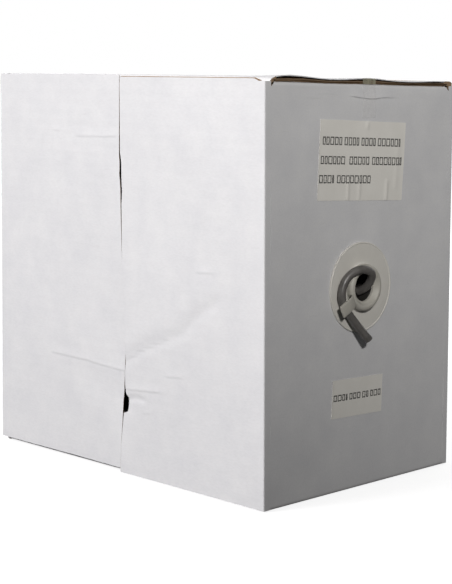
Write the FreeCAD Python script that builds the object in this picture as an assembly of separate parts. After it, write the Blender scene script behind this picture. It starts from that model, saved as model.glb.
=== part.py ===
# Cable spool box: a corrugated carton that holds a shaftless coil of network cable and pays the cable out
# through a plastic horn in its narrow front panel. Millimetres, +Z up, the port faces -Y. The origin is the
# centre of the base, on the surface that the carton stands on.
import FreeCAD, Part
import math
import os

Vector = FreeCAD.Vector

# Carton
WIDTH = 205.0                # across the front panel, along X
DEPTH = 300.0                # front to rear, along Y
HEIGHT = 300.0
BOARD = 3.6                  # thickness of the corrugated board
INNER_GAP = 0.3              # between the outer flaps and what they close over
SEAM_GAP = 1.0               # between the two outer flaps of a side
FLAP_HEIGHT = 296.0          # outer flaps are a little shorter than the panels, because of the slots
FRONT_FLAP_BASE = 0.5        # lowest edge of the front outer flaps
REAR_FLAP_BASE = 3.5         # lowest edge of the rear outer flaps
INNER_FLAP_LENGTH = 45.0
INNER_FLAP_WIDTH = 286.0
GLUE_TAB_DEPTH = 35.0
GLUE_TAB_WIDTH = 180.0
TUBE_LENGTH = WIDTH - 2 * BOARD - 2 * INNER_GAP   # length of the top and bottom panels along X

# Payout port
PORT_X = -3.5
PORT_Z = 149.0
PANEL_HOLE_RADIUS = 14.2
FLANGE_RADIUS = 33.0
FLANGE_THICKNESS = 1.6
RIM_WIDTH = 1.4
RIM_HEIGHT = 2.6
LIP_RADIUS = 17.2
LIP_HEIGHT = 7.6
LIP_ROUNDING = 3.0
LIP_TOP_RADIUS = 13.4
THROAT_RADIUS = 10.05
THROAT_HEIGHT = 4.2          # where the funnel in the lip narrows to the throat
SPIGOT_RADIUS = 11.8
SPIGOT_LENGTH = 22.0
TUBE_BORE_RADIUS = 11.9
TUBE_RADIUS = 13.6
TUBE_START = 0.4             # behind the panel's outer face
TUBE_END = 66.0
TUBE_FLANGE_RADIUS = 24.0
TUBE_FLANGE_THICKNESS = 1.6
TUBE_BEAD = 1.4
HOOK_ANGLE = 207.0           # round the port from +X, seen from the front
HOOK_WIDTH = 9.2
HOOK_REACH = 31.0
HOOK_UNDERSIDE = 8.9
HOOK_TOP = 11.3
HOOK_ROOT_RADIUS = 13.6
HOOK_ROOT_BASE = 3.5

# Cable and coil
CABLE_DIAMETER = 6.1
JACKET_THICKNESS = 0.5
COIL_RADIUS = 135.0
COIL_CORE_RADIUS = 93.0
COIL_WIDTH = 178.0
COIL_Z = BOARD + 0.1 + COIL_RADIUS
COIL_ROUNDING = 5.0
COIL_HOLE_RADIUS = 17.0
TIE_WIDTH = 14.0
TIE_THICKNESS = 0.5
TIE_ANGLES = {"front_top": 135.0, "front_bottom": 225.0, "rear_bottom": 315.0, "rear_top": 45.0}
CABLE_IN_PORT = (3.2, 4.6)   # the cable's place in the throat, from the port's axis
EXIT_DEPTH = 4.0             # the lead starts this far behind the panel's outer face

# The lead's route: right of the port's axis, out from the panel, above the port's axis
LEAD_ROUTE = [
    (3.2, -EXIT_DEPTH, 4.6),
    (3.2, 5.5, 4.6),
    (-0.2, 11.6, 12.4),
    (-9.0, 10.8, 16.2),
    (-19.0, 6.8, 12.2),
    (-25.2, 5.1, 3.5),
    (-26.6, 5.1, -6.0),
    (-21.3, 5.1, -13.8),
    (-14.6, 6.2, -21.4),
    (-9.0, 9.2, -29.2),
    (-3.0, 12.5, -37.2),
]
# The cable's way from the inside of the coil to the port, in the part's own frame
RUN_ROUTE = [
    (-18.0, -46.0, 58.0),
    (-10.0, -50.0, 95.0),
    (-5.0, -50.0, 125.0),
    (-1.0, -62.0, 147.0),
    (PORT_X + CABLE_IN_PORT[0], -85.0, PORT_Z + CABLE_IN_PORT[1]),
    (PORT_X + CABLE_IN_PORT[0], -DEPTH / 2 + EXIT_DEPTH, PORT_Z + CABLE_IN_PORT[1]),
]
ARC_SHARE = 0.45             # how much of the shorter run each arc takes

# Conductors at the lead's cut end
CONDUCTOR_LENGTH = 6.0
CONDUCTOR_RADIUS = 0.45
COPPER_RADIUS = 0.285
CONDUCTOR_GAP = 0.02         # between the two conductors of a pair
PAIR_OFFSET = 1.585          # from the cable's axis to the middle of a twisted pair
FILLER_THICKNESS = 0.4

# Labels
LABEL_THICKNESS = 0.2
CONTENTS_LABEL = {"size": (92.0, 57.0), "centre": (-2.9, 240.3), "tilt": 2.7}
CODE_LABEL = {"size": (55.5, 28.0), "centre": (-4.7, 68.5), "tilt": 1.9}

# Clear tape over the raw edge of the top panel, pressed flush into the board's soft top
TAPE_RANGE = (-2.7, 11.3)    # along X
TAPE_THICKNESS = 0.1
TAPE_BOTTOM = 272.0
TAPE_LENGTH_ON_TOP = 30.0


def board_profile(low, high, fold_low, fold_high):
    """Outline of a board across its thickness: its outer face on y = 0 and its inner face on y = BOARD.

    A folded end is half of a crease: the liner goes round the inner corner as an arc, up to the mitre."""
    mitre = BOARD * math.sin(math.radians(45))
    half = BOARD * math.sin(math.radians(22.5))
    rise = BOARD * math.cos(math.radians(22.5))
    ends = []
    for edge, folded, side in ((low, fold_low, 1), (high, fold_high, -1)):
        if folded:
            corner = Vector(edge + side * BOARD, BOARD, 0)
            start = corner + Vector(-side * mitre, -mitre, 0)
            middle = corner + Vector(-side * half, -rise, 0)
            finish = corner + Vector(0, -BOARD, 0)
            curve = [Part.LineSegment(corner, start), Part.Arc(start, middle, finish)]
        else:
            corner = Vector(edge, BOARD, 0)
            finish = Vector(edge, 0, 0)
            curve = [Part.LineSegment(corner, finish)]
        ends.append((corner, finish, curve))
    (low_corner, low_finish, low_curve), (high_corner, high_finish, high_curve) = ends
    lines = [Part.LineSegment(low_finish, high_finish), Part.LineSegment(high_corner, low_corner)]
    edges = [curve.toShape() for curve in low_curve + high_curve + lines]
    return Part.Wire(Part.__sortEdges__(edges))


def board(u_range, w_range, folds=()):
    """A flat board: u along X, w along Y, outer face on Z = 0. folds names the ends that are creases."""
    across_u = Part.Face(board_profile(*u_range, "u_low" in folds, "u_high" in folds))
    across_u.rotate(Vector(0, 0, 0), Vector(1, 0, 0), 90)
    across_u.translate(Vector(0, w_range[1], 0))
    along_w = across_u.extrude(Vector(0, w_range[0] - w_range[1], 0))
    across_w = Part.Face(board_profile(*w_range, "w_low" in folds, "w_high" in folds))
    across_w.rotate(Vector(0, 0, 0), Vector(1, 1, 1), 120)
    across_w.translate(Vector(u_range[0], 0, 0))
    along_u = across_w.extrude(Vector(u_range[1] - u_range[0], 0, 0))
    return along_w.common(along_u)


def place(shape, origin, along_u, along_w):
    """Puts a flat board where it belongs: u on along_u, w on along_w, and its inner face towards u x w."""
    u = Vector(*along_u)
    w = Vector(*along_w)
    v = u.cross(w)
    rows = []
    for axis, offset in zip("xyz", origin):
        rows += [getattr(u, axis), getattr(w, axis), getattr(v, axis), offset]
    shape.Placement = FreeCAD.Placement(FreeCAD.Matrix(*rows, 0, 0, 0, 1))
    return shape


def mirrored(shape):
    """The same shape on the carton's other side."""
    return shape.mirror(Vector(0, 0, 0), Vector(1, 0, 0))


def port_cylinder(radius, start, finish):
    """A cylinder on the port's axis, from start to finish measured back from the panel's outer face."""
    base = Vector(PORT_X, -DEPTH / 2 + start, PORT_Z)
    return Part.makeCylinder(radius, finish - start, base, Vector(0, 1, 0))


def carton_panels():
    """The four panels of the carton's tube, and the tab that closes it under the top panel."""
    half_width = WIDTH / 2
    half_depth = DEPTH / 2
    half_tube = TUBE_LENGTH / 2
    all_folds = ("u_low", "u_high", "w_low", "w_high")
    front = board((0, HEIGHT - BOARD), (-half_width, half_width), all_folds)
    front = place(front, (0, -half_depth, 0), (0, 0, 1), (1, 0, 0))
    bottom = board((-half_tube, half_tube), (-half_depth, half_depth), all_folds)
    rear = board((-half_width, half_width), (0, HEIGHT), all_folds)
    top = board((-half_depth, half_depth), (-half_tube, half_tube), ("u_high", "w_low", "w_high"))
    top = place(top, (0, 0, HEIGHT), (0, 1, 0), (1, 0, 0))
    tab_depths = (-half_depth, -half_depth + BOARD + GLUE_TAB_DEPTH)
    tab = board(tab_depths, (-GLUE_TAB_WIDTH / 2, GLUE_TAB_WIDTH / 2), ("u_low",))
    return {
        "front_panel": front.cut(port_cylinder(PANEL_HOLE_RADIUS, -1, BOARD + 1)),
        "bottom_panel": bottom,
        "rear_panel": place(rear, (0, half_depth, 0), (1, 0, 0), (0, 0, 1)),
        "top_panel": top.cut(tape_on_top()),
        "glue_tab": place(tab, (0, 0, HEIGHT - BOARD), (0, 1, 0), (1, 0, 0)),
    }


def outer_flaps():
    """Four full-height flaps, hinged on the front and rear panels, that meet in the middle of each side."""
    origin = (-WIDTH / 2, 0, 0)
    front_range = (-DEPTH / 2, -SEAM_GAP / 2)
    rear_range = (SEAM_GAP / 2, DEPTH / 2)
    front = board(front_range, (FRONT_FLAP_BASE, FRONT_FLAP_BASE + FLAP_HEIGHT), ("u_low",))
    rear = board(rear_range, (REAR_FLAP_BASE, REAR_FLAP_BASE + FLAP_HEIGHT), ("u_high",))
    front = place(front, origin, (0, 1, 0), (0, 0, 1))
    rear = place(rear, origin, (0, 1, 0), (0, 0, 1))
    return {
        "left_front_flap": front,
        "left_rear_flap": rear,
        "right_front_flap": mirrored(front),
        "right_rear_flap": mirrored(rear),
    }


def inner_flaps():
    """Four short flaps behind the outer ones, hinged on the ends of the top and bottom panels."""
    origin = (-TUBE_LENGTH / 2, 0, 0)
    across = (-INNER_FLAP_WIDTH / 2, INNER_FLAP_WIDTH / 2)
    bottom = board(across, (0, INNER_FLAP_LENGTH), ("w_low",))
    top = board(across, (HEIGHT - INNER_FLAP_LENGTH, HEIGHT), ("w_high",))
    bottom = place(bottom, origin, (0, 1, 0), (0, 0, 1))
    top = place(top, origin, (0, 1, 0), (0, 0, 1))
    return {
        "left_bottom_inner_flap": bottom,
        "left_top_inner_flap": top,
        "right_bottom_inner_flap": mirrored(bottom),
        "right_top_inner_flap": mirrored(top),
    }


def turned_about_port(outline):
    """A solid of revolution on the port's axis, from edges drawn in radius (x) and height out (y)."""
    face = Part.Face(Part.Wire(Part.__sortEdges__(outline)))
    solid = face.revolve(Vector(0, 0, 0), Vector(0, 1, 0), 360)
    solid.rotate(Vector(0, 0, 0), Vector(1, 0, 0), 180)
    solid.translate(Vector(PORT_X, -DEPTH / 2, PORT_Z))
    return solid


def outline_edges(steps):
    """Edges through the steps in order, closed at the end. A step of two points is an arc: middle, end."""
    edges = []
    here = Vector(*steps[0], 0)
    for step in steps[1:] + [steps[0]]:
        if isinstance(step[0], tuple):
            middle = Vector(*step[0], 0)
            finish = Vector(*step[1], 0)
            edges.append(Part.Arc(here, middle, finish).toShape())
        else:
            finish = Vector(*step, 0)
            edges.append(Part.LineSegment(here, finish).toShape())
        here = finish
    return edges


def hook():
    """The tab on the lip that traps the cable, with the riser that it stands on."""
    root = Part.makeBox(
        LIP_RADIUS - HOOK_ROOT_RADIUS, HOOK_WIDTH, HOOK_TOP - HOOK_ROOT_BASE,
        Vector(HOOK_ROOT_RADIUS, -HOOK_WIDTH / 2, HOOK_ROOT_BASE)
    )
    tab = Part.makeBox(
        HOOK_REACH - HOOK_ROOT_RADIUS, HOOK_WIDTH, HOOK_TOP - HOOK_UNDERSIDE,
        Vector(HOOK_ROOT_RADIUS, -HOOK_WIDTH / 2, HOOK_UNDERSIDE)
    )
    shape = root.fuse(tab).removeSplitter()
    shape.rotate(Vector(0, 0, 0), Vector(0, 0, 1), HOOK_ANGLE)
    shape.rotate(Vector(0, 0, 0), Vector(1, 0, 0), 90)
    shape.translate(Vector(PORT_X, -DEPTH / 2, PORT_Z))
    return shape


def outlet_horn():
    """Flange, rounded lip, hook and spigot, moulded in one piece."""
    rim_inner = FLANGE_RADIUS - RIM_WIDTH
    rim_arc_base = RIM_HEIGHT - RIM_WIDTH / 2
    lip_arc_base = LIP_HEIGHT - LIP_ROUNDING
    rounding_centre = LIP_RADIUS - LIP_ROUNDING
    diagonal = LIP_ROUNDING * math.sin(math.radians(45))
    steps = [
        (SPIGOT_RADIUS, 0),
        (FLANGE_RADIUS, 0),
        (FLANGE_RADIUS, rim_arc_base),
        ((FLANGE_RADIUS - RIM_WIDTH / 2, RIM_HEIGHT), (rim_inner, rim_arc_base)),
        (rim_inner, FLANGE_THICKNESS),
        (LIP_RADIUS, FLANGE_THICKNESS),
        (LIP_RADIUS, lip_arc_base),
        ((rounding_centre + diagonal, lip_arc_base + diagonal), (rounding_centre, LIP_HEIGHT)),
        (LIP_TOP_RADIUS, LIP_HEIGHT),
        (THROAT_RADIUS, THROAT_HEIGHT),
        (THROAT_RADIUS, -SPIGOT_LENGTH),
        (SPIGOT_RADIUS, -SPIGOT_LENGTH),
    ]
    return turned_about_port(outline_edges(steps)).fuse(hook()).removeSplitter()


def payout_tube():
    """The tube that leads the cable from inside the coil to the horn. Its flange bears on the panel."""
    flange_front = -BOARD
    flange_back = -BOARD - TUBE_FLANGE_THICKNESS
    bead_radius = TUBE_RADIUS + TUBE_BEAD
    steps = [
        (TUBE_BORE_RADIUS, -TUBE_START),
        (TUBE_RADIUS, -TUBE_START),
        (TUBE_RADIUS, flange_front),
        (TUBE_FLANGE_RADIUS, flange_front),
        (TUBE_FLANGE_RADIUS, flange_back),
        (TUBE_RADIUS, flange_back),
        (TUBE_RADIUS, -TUBE_END + 2 * TUBE_BEAD),
        ((bead_radius, -TUBE_END + TUBE_BEAD), (TUBE_RADIUS, -TUBE_END)),
        (TUBE_BORE_RADIUS, -TUBE_END),
    ]
    return turned_about_port(outline_edges(steps))


def coil_body(growth):
    """The coil's ring on its sideways axis, grown all round by growth."""
    width = COIL_WIDTH + 2 * growth
    base = Vector(-width / 2, 0, COIL_Z)
    ring = Part.makeCylinder(COIL_RADIUS + growth, width, base, Vector(1, 0, 0))
    rims = [edge for edge in ring.Edges if edge.Curve.TypeId == "Part::GeomCircle"]
    ring = ring.makeFillet(COIL_ROUNDING + growth, rims)
    return ring.cut(Part.makeCylinder(COIL_CORE_RADIUS - growth, width, base, Vector(1, 0, 0)))


def cable_coil():
    """The shaftless coil, with the radial hole that the payout tube passes through."""
    return coil_body(0).cut(port_cylinder(COIL_HOLE_RADIUS, 0, DEPTH / 2))


def coil_tie(angle):
    """A band of tape round the coil's section. angle is from the rear (+Y) up, about the coil's axis."""
    shell = coil_body(TIE_THICKNESS).cut(coil_body(0))
    slab = Part.makeBox(WIDTH, COIL_RADIUS * 2, TIE_WIDTH, Vector(-WIDTH / 2, 0, -TIE_WIDTH / 2))
    slab.rotate(Vector(0, 0, 0), Vector(1, 0, 0), angle)
    slab.translate(Vector(0, 0, COIL_Z))
    return shell.common(slab)


def rounded_path(name, points):
    """Straight runs through the points, joined by tangent arcs, as one wire. Prints each arc's radius."""
    edges = []
    radii = []
    here = points[0]
    for before, corner, after in zip(points, points[1:], points[2:]):
        way_in = (corner - before).normalize()
        way_out = (after - corner).normalize()
        setback = ARC_SHARE * min((corner - before).Length, (after - corner).Length)
        half_turn = way_in.getAngle(way_out) / 2
        radius = setback / math.tan(half_turn)
        start = corner - way_in * setback
        finish = corner + way_out * setback
        towards_centre = (way_out - way_in).normalize()
        middle = corner + towards_centre * (radius / math.cos(half_turn) - radius)
        edges.append(Part.LineSegment(here, start).toShape())
        edges.append(Part.Arc(start, middle, finish).toShape())
        radii.append(round(radius, 1))
        here = finish
    edges.append(Part.LineSegment(here, points[-1]).toShape())
    print(name, "arc radii, mm:", radii)
    return Part.Wire(edges)


def cable_along(name, points):
    """A round cable along the points. Prints its length, and its volume against section times length."""
    path = rounded_path(name, points)
    circle = Part.makeCircle(CABLE_DIAMETER / 2, points[0], points[1] - points[0])
    tube = path.makePipeShell([Part.Wire(circle)], True, False)
    expected = math.pi * CABLE_DIAMETER ** 2 / 4 * path.Length
    print(name, "length, mm:", round(path.Length, 1), "volume over section times length:",
          round(tube.Volume / expected, 4))
    return tube


def lead_points():
    """The lead's route in the part's frame."""
    return [Vector(PORT_X + x, -DEPTH / 2 - out, PORT_Z + z) for x, out, z in LEAD_ROUTE]


def end_frame(points):
    """Where the cut end's conductors start, the way they point, and two directions across them."""
    along = (points[-1] - points[-2]).normalize()
    start = points[-1] - along * CONDUCTOR_LENGTH
    side = along.cross(Vector(0, 1, 0)).normalize()
    return start, along, side, along.cross(side)


def cable_lead(points):
    """The free end of the cable: its jacket, opened at the cut end for the conductors."""
    start, along = end_frame(points)[:2]
    pocket = Part.makeCylinder(CABLE_DIAMETER / 2 - JACKET_THICKNESS, CONDUCTOR_LENGTH + 1, start, along)
    return cable_along("cable_lead", points).cut(pocket)


def conductor_centres(points):
    """The eight conductors' centres at the start of the pocket: four pairs round the filler."""
    start, _, side, across = end_frame(points)
    centres = []
    for pair in range(4):
        angle = math.radians(45 + 90 * pair)
        middle = start + (side * math.cos(angle) + across * math.sin(angle)) * PAIR_OFFSET
        lay = angle + math.radians(60 + 35 * pair)
        half_pitch = (side * math.cos(lay) + across * math.sin(lay)) * (CONDUCTOR_RADIUS + CONDUCTOR_GAP / 2)
        centres += [middle + half_pitch, middle - half_pitch]
    return centres


def lead_conductors(points):
    """Insulation of the eight conductors, as sleeves over their copper."""
    along = end_frame(points)[1]
    sleeves = []
    for centre in conductor_centres(points):
        sleeve = Part.makeCylinder(CONDUCTOR_RADIUS, CONDUCTOR_LENGTH, centre, along)
        sleeves.append(sleeve.cut(Part.makeCylinder(COPPER_RADIUS, CONDUCTOR_LENGTH, centre, along)))
    return Part.Compound(sleeves)


def lead_copper(points):
    """The eight copper wires."""
    along = end_frame(points)[1]
    wires = [Part.makeCylinder(COPPER_RADIUS, CONDUCTOR_LENGTH, c, along) for c in conductor_centres(points)]
    return Part.Compound(wires)


def lead_filler(points):
    """The cross-shaped filler that keeps the four pairs apart."""
    start, along, side, across = end_frame(points)
    span = CABLE_DIAMETER - 2 * JACKET_THICKNESS - 0.2
    arms = []
    for size in ((span, FILLER_THICKNESS), (FILLER_THICKNESS, span)):
        arms.append(Part.makeBox(*size, CONDUCTOR_LENGTH, Vector(-size[0] / 2, -size[1] / 2, 0)))
    cross = arms[0].fuse(arms[1]).removeSplitter()
    rows = []
    for axis in "xyz":
        rows += [getattr(side, axis), getattr(across, axis), getattr(along, axis), getattr(start, axis)]
    cross.Placement = FreeCAD.Placement(FreeCAD.Matrix(*rows, 0, 0, 0, 1))
    return cross


def label(size, centre, tilt):
    """A paper label on the front panel, turned clockwise by tilt."""
    width, height = size
    corner = Vector(-width / 2, -LABEL_THICKNESS, -height / 2)
    paper = Part.makeBox(width, LABEL_THICKNESS, height, corner)
    paper.rotate(Vector(0, 0, 0), Vector(0, 1, 0), tilt)
    paper.translate(Vector(centre[0], -DEPTH / 2, centre[1]))
    return paper


def tape_on_top():
    """The end of the clear tape that lies in the top panel, level with its outer face."""
    low, high = TAPE_RANGE
    corner = Vector(low, -DEPTH / 2 - TAPE_THICKNESS, HEIGHT - TAPE_THICKNESS)
    return Part.makeBox(high - low, TAPE_LENGTH_ON_TOP + TAPE_THICKNESS, TAPE_THICKNESS, corner)


def seal_tape():
    """Clear tape from the front panel over the raw edge onto the top panel."""
    low, high = TAPE_RANGE
    corner = Vector(low, -DEPTH / 2 - TAPE_THICKNESS, TAPE_BOTTOM)
    on_front = Part.makeBox(high - low, TAPE_THICKNESS, HEIGHT - TAPE_BOTTOM, corner)
    return on_front.fuse(tape_on_top()).removeSplitter()


lead = lead_points()
nodes = {}
nodes.update(carton_panels())
nodes.update(outer_flaps())
nodes.update(inner_flaps())
nodes["contents_label"] = label(**CONTENTS_LABEL)
nodes["code_label"] = label(**CODE_LABEL)
nodes["seal_tape"] = seal_tape()
nodes["outlet_horn"] = outlet_horn()
nodes["payout_tube"] = payout_tube()
nodes["cable_coil"] = cable_coil()
for place_name, tie_angle in TIE_ANGLES.items():
    nodes["coil_tie_" + place_name] = coil_tie(tie_angle)
nodes["cable_run"] = cable_along("cable_run", [Vector(*point) for point in RUN_ROUTE])
nodes["cable_lead"] = cable_lead(lead)
nodes["lead_conductors"] = lead_conductors(lead)
nodes["lead_copper"] = lead_copper(lead)
nodes["lead_filler"] = lead_filler(lead)

os.makedirs("parts", exist_ok=True)
for name, shape in nodes.items():
    shape.exportStep("parts/" + name + ".step")
    box = shape.BoundBox
    print(name, len(shape.Solids), "solids, valid:", shape.isValid(), "volume", round(shape.Volume),
          "box", [round(v, 1) for v in (box.XMin, box.XMax, box.YMin, box.YMax, box.ZMin, box.ZMax)])
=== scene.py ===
import math

import bmesh
import bpy
import numpy as np
from mathutils import Matrix, Vector


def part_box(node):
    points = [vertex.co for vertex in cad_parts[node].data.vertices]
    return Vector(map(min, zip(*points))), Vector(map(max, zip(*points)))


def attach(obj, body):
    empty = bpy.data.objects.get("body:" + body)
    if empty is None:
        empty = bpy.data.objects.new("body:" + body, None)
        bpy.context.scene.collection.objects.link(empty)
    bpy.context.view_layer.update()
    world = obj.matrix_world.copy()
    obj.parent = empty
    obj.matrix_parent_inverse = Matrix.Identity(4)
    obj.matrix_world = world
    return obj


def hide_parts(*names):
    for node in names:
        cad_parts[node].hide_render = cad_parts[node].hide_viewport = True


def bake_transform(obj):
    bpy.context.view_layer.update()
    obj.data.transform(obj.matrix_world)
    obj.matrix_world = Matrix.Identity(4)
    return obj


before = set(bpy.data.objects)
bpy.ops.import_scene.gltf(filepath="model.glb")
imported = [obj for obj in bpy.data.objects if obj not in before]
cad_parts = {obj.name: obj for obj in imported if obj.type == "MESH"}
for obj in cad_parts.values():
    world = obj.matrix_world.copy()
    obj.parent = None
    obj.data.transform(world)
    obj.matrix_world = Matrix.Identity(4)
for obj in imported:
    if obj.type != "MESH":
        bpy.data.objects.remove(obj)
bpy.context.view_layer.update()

MM = 0.001
HAIR = 0.00002               # a gap or a radius too small to see

# Carton, in metres like everything below unless a comment says otherwise
FLAP_LOW, FLAP_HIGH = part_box("left_front_flap")
TOP_LOW, TOP_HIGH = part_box("top_panel")
WIDTH = 2 * abs(FLAP_LOW.x)
DEPTH = 2 * abs(TOP_LOW.y)
HEIGHT = TOP_HIGH.z
BOARD = 0.0036
LINER = 0.00035
MEDIUM = 0.00025
LINERS = ((0.0, LINER, 0), (BOARD - LINER, BOARD, 1))   # from and to which depth, and the material slot
FLUTE_PITCH = 0.0078
WASHBOARD = 0.00003          # how far the liner sinks between two flutes
FOLD_RADIUS = 0.0039
FOLD_SHARPNESS = 0.8         # 0 leaves a fold round, 1 makes it square
CREASE_REACH = 0.006         # each side of a corner, the part of the board that bends with the crease
TUBE_HALF = TOP_HIGH.x       # half the length of the top and bottom panels along X
INNER_FLAP_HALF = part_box("left_top_inner_flap")[1].y
INNER_FLAP_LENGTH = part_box("left_bottom_inner_flap")[1].z
GLUE_TAB_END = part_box("glue_tab")[1].y
FLAP_HEIGHT = FLAP_HIGH.z - FLAP_LOW.z
FLAP_BASES = (0.0005, 0.0035)    # how high the front and the rear outer flaps start
RAW_EDGE_SWELL = 0.00025     # how much the outer liner is frayed open at the raw edge
CRUSHED = 0.2                # share of an inner flap's thickness that is crushed at its free edge

# Payout port
SPIGOT_LOW, SPIGOT_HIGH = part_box("payout_tube")
PORT = Vector(((SPIGOT_LOW.x + SPIGOT_HIGH.x) / 2, -DEPTH / 2, (SPIGOT_LOW.z + SPIGOT_HIGH.z) / 2))
HOLE_RADIUS = 0.0142
HOLE_SQUARE = 7              # grid steps from the port's axis to the hole's edge
HOLE_BLEND = 12              # grid steps from the port's axis to where the grid is square again
MEDIUM_HOLE = 0.020          # the fluted medium ends this far from the port's axis
PORT_FLAT = 0.034            # the horn holds the panel flat this far from the port's axis
HORN_SEGMENTS = 128
HOOK_ANGLE = 207.0           # round the port from +X, seen from the front
HOOK_HALF_WIDTH = 4.6        # in millimetres

# Cable
CABLE_DIAMETER = 0.0061
JACKET_OUTER = 0.003048      # radii of the jacket's wall where it is cut
JACKET_INNER = 0.00255
WIRE_RADIUS = 0.00045
COPPER_RADIUS = 0.000285
CUT_DEPTH = 0.006            # how far into the cable its cut end is modelled
PAIR_OFFSET = 0.001585       # from the cable's centre to a pair's centre
WIRE_OFFSET = 0.00046        # from a pair's centre to its wires' centres
PAIR_LAY = 0.011             # length of one twist of a pair
LEAD_ROUTE = [
    (-0.3, -146.0, 145.0),
    (0.8, -152.5, 147.5),
    (-1.0, -161.3, 159.6),
    (-12.5, -160.8, 164.5),
    (-21.9, -156.8, 160.8),
    (-27.7, -155.1, 152.5),
    (-29.0, -155.1, 143.0),
    (-24.2, -155.1, 135.0),
    (-18.1, -156.2, 127.6),
    (-12.5, -159.2, 119.8),
    (-6.5, -162.5, 111.8),
]
RUN_ROUTE = [
    (-18.0, -46.0, 58.0),
    (-10.0, -50.0, 95.0),
    (-5.0, -50.0, 125.0),
    (-1.0, -62.0, 147.0),
    (-0.3, -85.0, 152.6),
    (-1.2, -136.0, 143.6),
    (-0.3, -146.0, 145.0),
]

# How the carton has settled: what each corner has moved from its true place, in millimetres
CORNER_SHIFTS = {
    (-1, -1, 0): (1.0, -1.0, 0.0),
    (-1, -1, 1): (-0.5, 0.5, 1.0),
    (1, -1, 0): (1.2, 0.0, 0.0),
    (1, -1, 1): (-1.2, 0.0, -3.4),
    (-1, 1, 0): (0.0, 1.4, 0.0),
    (-1, 1, 1): (0.0, -1.4, 0.5),
    (1, 1, 0): (0.0, 0.0, 0.0),
    (1, 1, 1): (0.0, 0.0, -0.8),
}
# Rise of the top panel's raw edge above its straight line: x and rise, in millimetres
RAW_EDGE_WAVE = [
    (-99, -2.9), (-96.5, -1.9), (-91, 0.0), (-86, 0.7), (-78, 1.1), (-66, 0.7), (-53, -0.2), (-38, -1.0),
    (-22, -0.8), (-9, 0.1), (3, 0.6), (14, 0.4), (26, -0.4), (38, -0.9), (54, -1.0), (66, -0.6), (79, 0.1),
    (95, 0.1),
]
# Free edges of the two outer flaps on the left side: z and y, in millimetres
NEAR_EDGE = [
    (0, 0.6), (2, 0.9), (21, 0.0), (34, -1.3), (41, -2.2), (44, -2.5), (47, -3.1), (48.2, -7.2), (54, -8.2),
    (59, -7.9), (62, -5.4), (68, -4.4), (76, -4.1), (91, -4.9), (118, -3.8), (145, -2.7), (154, -1.45),
    (205, -0.2), (213, -0.8), (226, 0.0), (235, 0.1), (243, 1.5), (297, 1.4),
]
FAR_EDGE = [
    (3, 1.3), (21, 0.3), (35, -0.9), (41, -1.5), (49, -1.9), (57, -2.2), (62, -2.9), (68, -3.4), (76, -3.7),
    (91, -4.4), (118, -3.3), (145, -2.1), (154, -1.0), (217, 0.5), (226, 1.5), (235, 1.4), (243, 2.0),
    (300, 1.6),
]
# Creases on the left side's near and far flaps: height, half-width, then y and z along each, in millimetres
NEAR_CREASES = [
    (-0.45, 4.5, [(-5, 87), (-20, 96), (-49, 108), (-68, 115), (-84, 130), (-102, 141)]),
    (0.30, 9.0, [(-7, 99), (-24, 109), (-50, 120), (-74, 136), (-90, 150)]),
    (0.26, 0.6, [(-5, 87.8), (-15.8, 92.2), (-19.6, 96.3), (-25.8, 97.1)]),
    (0.15, 0.8, [(-27, 99.8), (-38, 101.2)]),
    (0.15, 0.8, [(-35, 103.6), (-44, 104.8)]),
    (0.12, 0.8, [(-47, 108.3), (-54, 109.1)]),
    (0.30, 0.8, [(-6, 65), (-19, 66), (-35, 67.2), (-43, 68)]),
    (-0.5, 2.5, [(-8, 58), (-16, 60.2), (-24, 59.6)]),
    (0.24, 0.8, [(-49, 80.6), (-58, 81.5), (-67, 82.3)]),
    (0.24, 0.8, [(-82.8, 160.7), (-98, 161.3)]),
    (0.20, 0.8, [(-25, 49.8), (-33, 50.2)]),
    (-0.5, 7.0, [(-2, 53), (-9, 53)]),
]
FAR_CREASES = [
    (0.28, 0.8, [(83, 81.6), (42, 81.2), (21, 79.4), (-3, 78.9)]),
    (0.22, 0.7, [(81, 256.3), (73.7, 256.6)]),
    (0.26, 0.7, [(51.4, 252.9), (28, 253.2), (4.4, 254.1)]),
    (-0.5, 12.0, [(6, 60), (40, 70)]),
]
# The hidden right side: free edges and creases of its own
PLAIN_NEAR_EDGE = [(0, -0.6), (60, -0.9), (150, -0.3), (230, -0.8), (297, -0.5)]
PLAIN_FAR_EDGE = [(3, 0.6), (70, 0.9), (160, 0.4), (240, 1.1), (300, 0.6)]
RIGHT_CREASES = [
    (0.5, 7.0, [(20, 60), (60, 95), (110, 118)]),
    (0.18, 0.8, [(15, 210), (58, 212)]),
    (0.15, 0.8, [(90, 152), (118, 151)]),
]
# Creases on the front panel: the same, with x and z
FRONT_CREASES = [
    (0.75, 0.42, [(-15, 287.4), (-7, 286.5), (1.4, 285.8), (11, 285.7), (16, 286.5), (26, 286.8)]),
    (0.28, 0.5, [(-57, 285.6), (-51, 285.4)]),
    (0.28, 0.5, [(-45, 288.6), (-38, 288.6)]),
    (0.35, 9.0, [(-60, 258), (-15, 283), (40, 279)]),
    (-0.30, 12.0, [(62, 150), (80, 230)]),
    (0.30, 14.0, [(-80, 60), (-60, 200)]),
]

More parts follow.
